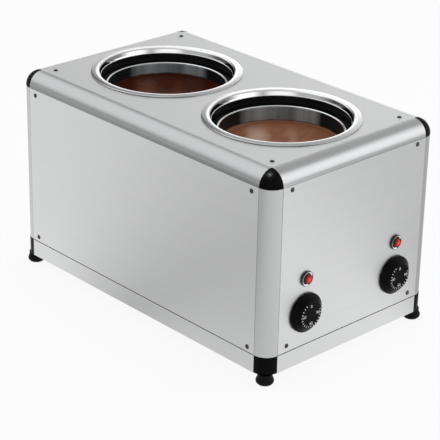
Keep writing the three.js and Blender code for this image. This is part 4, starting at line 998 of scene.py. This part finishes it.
def set_studio():
    """White to the camera; metal sees a grey studio with soft boxes, each a smooth lobe by the cosine
    between a direction and the box's own; the rest of the light is even and soft."""
    world = bpy.data.worlds.new("studio")
    bpy.context.scene.world = world
    world.use_nodes = True
    world.node_tree.nodes.clear()
    studio = NodeTree(world.node_tree)
    direction = studio.add("ShaderNodeTexCoord", output="Generated")
    tone = studio.axes(direction)[Z].step(-0.05, 0.45, *SKY)
    for towards, near, full, gain in SOFT_BOXES:
        facing = studio.vector("DOT_PRODUCT", direction, Vector(towards).normalized(), output="Value")
        tone = tone + facing.step(near, full, 0.0, gain)
    even, in_metal, seen = [studio.add("ShaderNodeBackground", inputs={"Color": WHITE, "Strength": strength})
                            for strength in (FILL_LIGHT, tone, 1.0)]
    camera_ray, glossy_ray, glass_ray = studio.rays("Camera", "Glossy", "Transmission")
    light = studio.mix(studio.maths("MAXIMUM", glossy_ray, glass_ray), even, in_metal)
    studio.add("ShaderNodeOutputWorld", inputs={0: studio.mix(camera_ray, light, seen)})


def add_floor():
    """A pale floor that the camera sees as white apart from the machine's soft shadow, and that metal
    sees in tones that change with the bearing."""
    half, drop = 8.0, -0.3 * MM  # metres
    mesh = bpy.data.meshes.new("floor")
    mesh.from_pydata([(-half, -half, drop), (half, -half, drop), (half, half, drop), (-half, half, drop)], [],
                     [(0, 1, 2, 3)])
    floor = placed("floor", mesh)
    finish = Finish("pale floor", Base_Color=(0.8, 0.8, 0.8, 1), Roughness=0.9, Specular_IOR_Level=0.0)
    stops = [((angle + 180) / 360, (tone,) * 3) for angle, tone in FLOOR_IN_METAL]
    turn = finish.bearing() * (0.5 / math.pi) + 0.5
    tone = finish.add("ShaderNodeValToRGB", {"stops": stops}, {0: turn})
    white, grey = [finish.add("ShaderNodeEmission", inputs={"Color": color, "Strength": strength})
                   for color, strength in ((WHITE, 1.0), (tone, 1.25))]
    camera_ray, glossy_ray = finish.rays("Camera", "Glossy")
    lit = Signal(finish, finish.shader.outputs[0])
    shown = finish.mix(camera_ray * 0.9, finish.mix(glossy_ray, lit, grey), white)
    finish.feed(finish.nodes["Material Output"].inputs[0], shown)
    mesh.materials.append(finish.material)


def add_light(name, place, size, power, spark_on=None):
    """A square soft lamp at a place in metres, facing the machine: it lights dull surfaces, or with
    spark_on only shows as a spark in the gloss of those pieces."""
    data = bpy.data.lights.new(name, "AREA")
    data.shape, data.size, data.energy = "SQUARE", size, power
    lamp = placed(name, data)
    aim = Vector((0, 0, 0.2)) - Vector(place)
    lamp.matrix_world = Matrix.Translation(place) @ aim.to_track_quat("-Z", "Y").to_matrix().to_4x4()
    lamp.visible_glossy, lamp.visible_diffuse = bool(spark_on), not spark_on
    if spark_on:
        lit_pieces = bpy.data.collections.new("pieces with a spark")
        for piece in spark_on:
            lit_pieces.objects.link(bpy.data.objects[piece])
        lamp.light_linking.receiver_collection = lit_pieces


set_studio()
add_floor()
add_light("overhead", (0.2, 0.1, 2.4), 1.6, 14)
add_light("right band", (1.5, -0.7, 1.6), 0.9, 7)
add_light("rear left band", (-0.6, 1.6, 1.6), 0.9, 5)
add_light("high spark", (-0.55, -0.08, 2.4), 0.3, 80,
          spark_on=["ball_corner_" + name for name, *_ in CORNERS])

bpy.context.scene.view_settings.view_transform = "Standard"
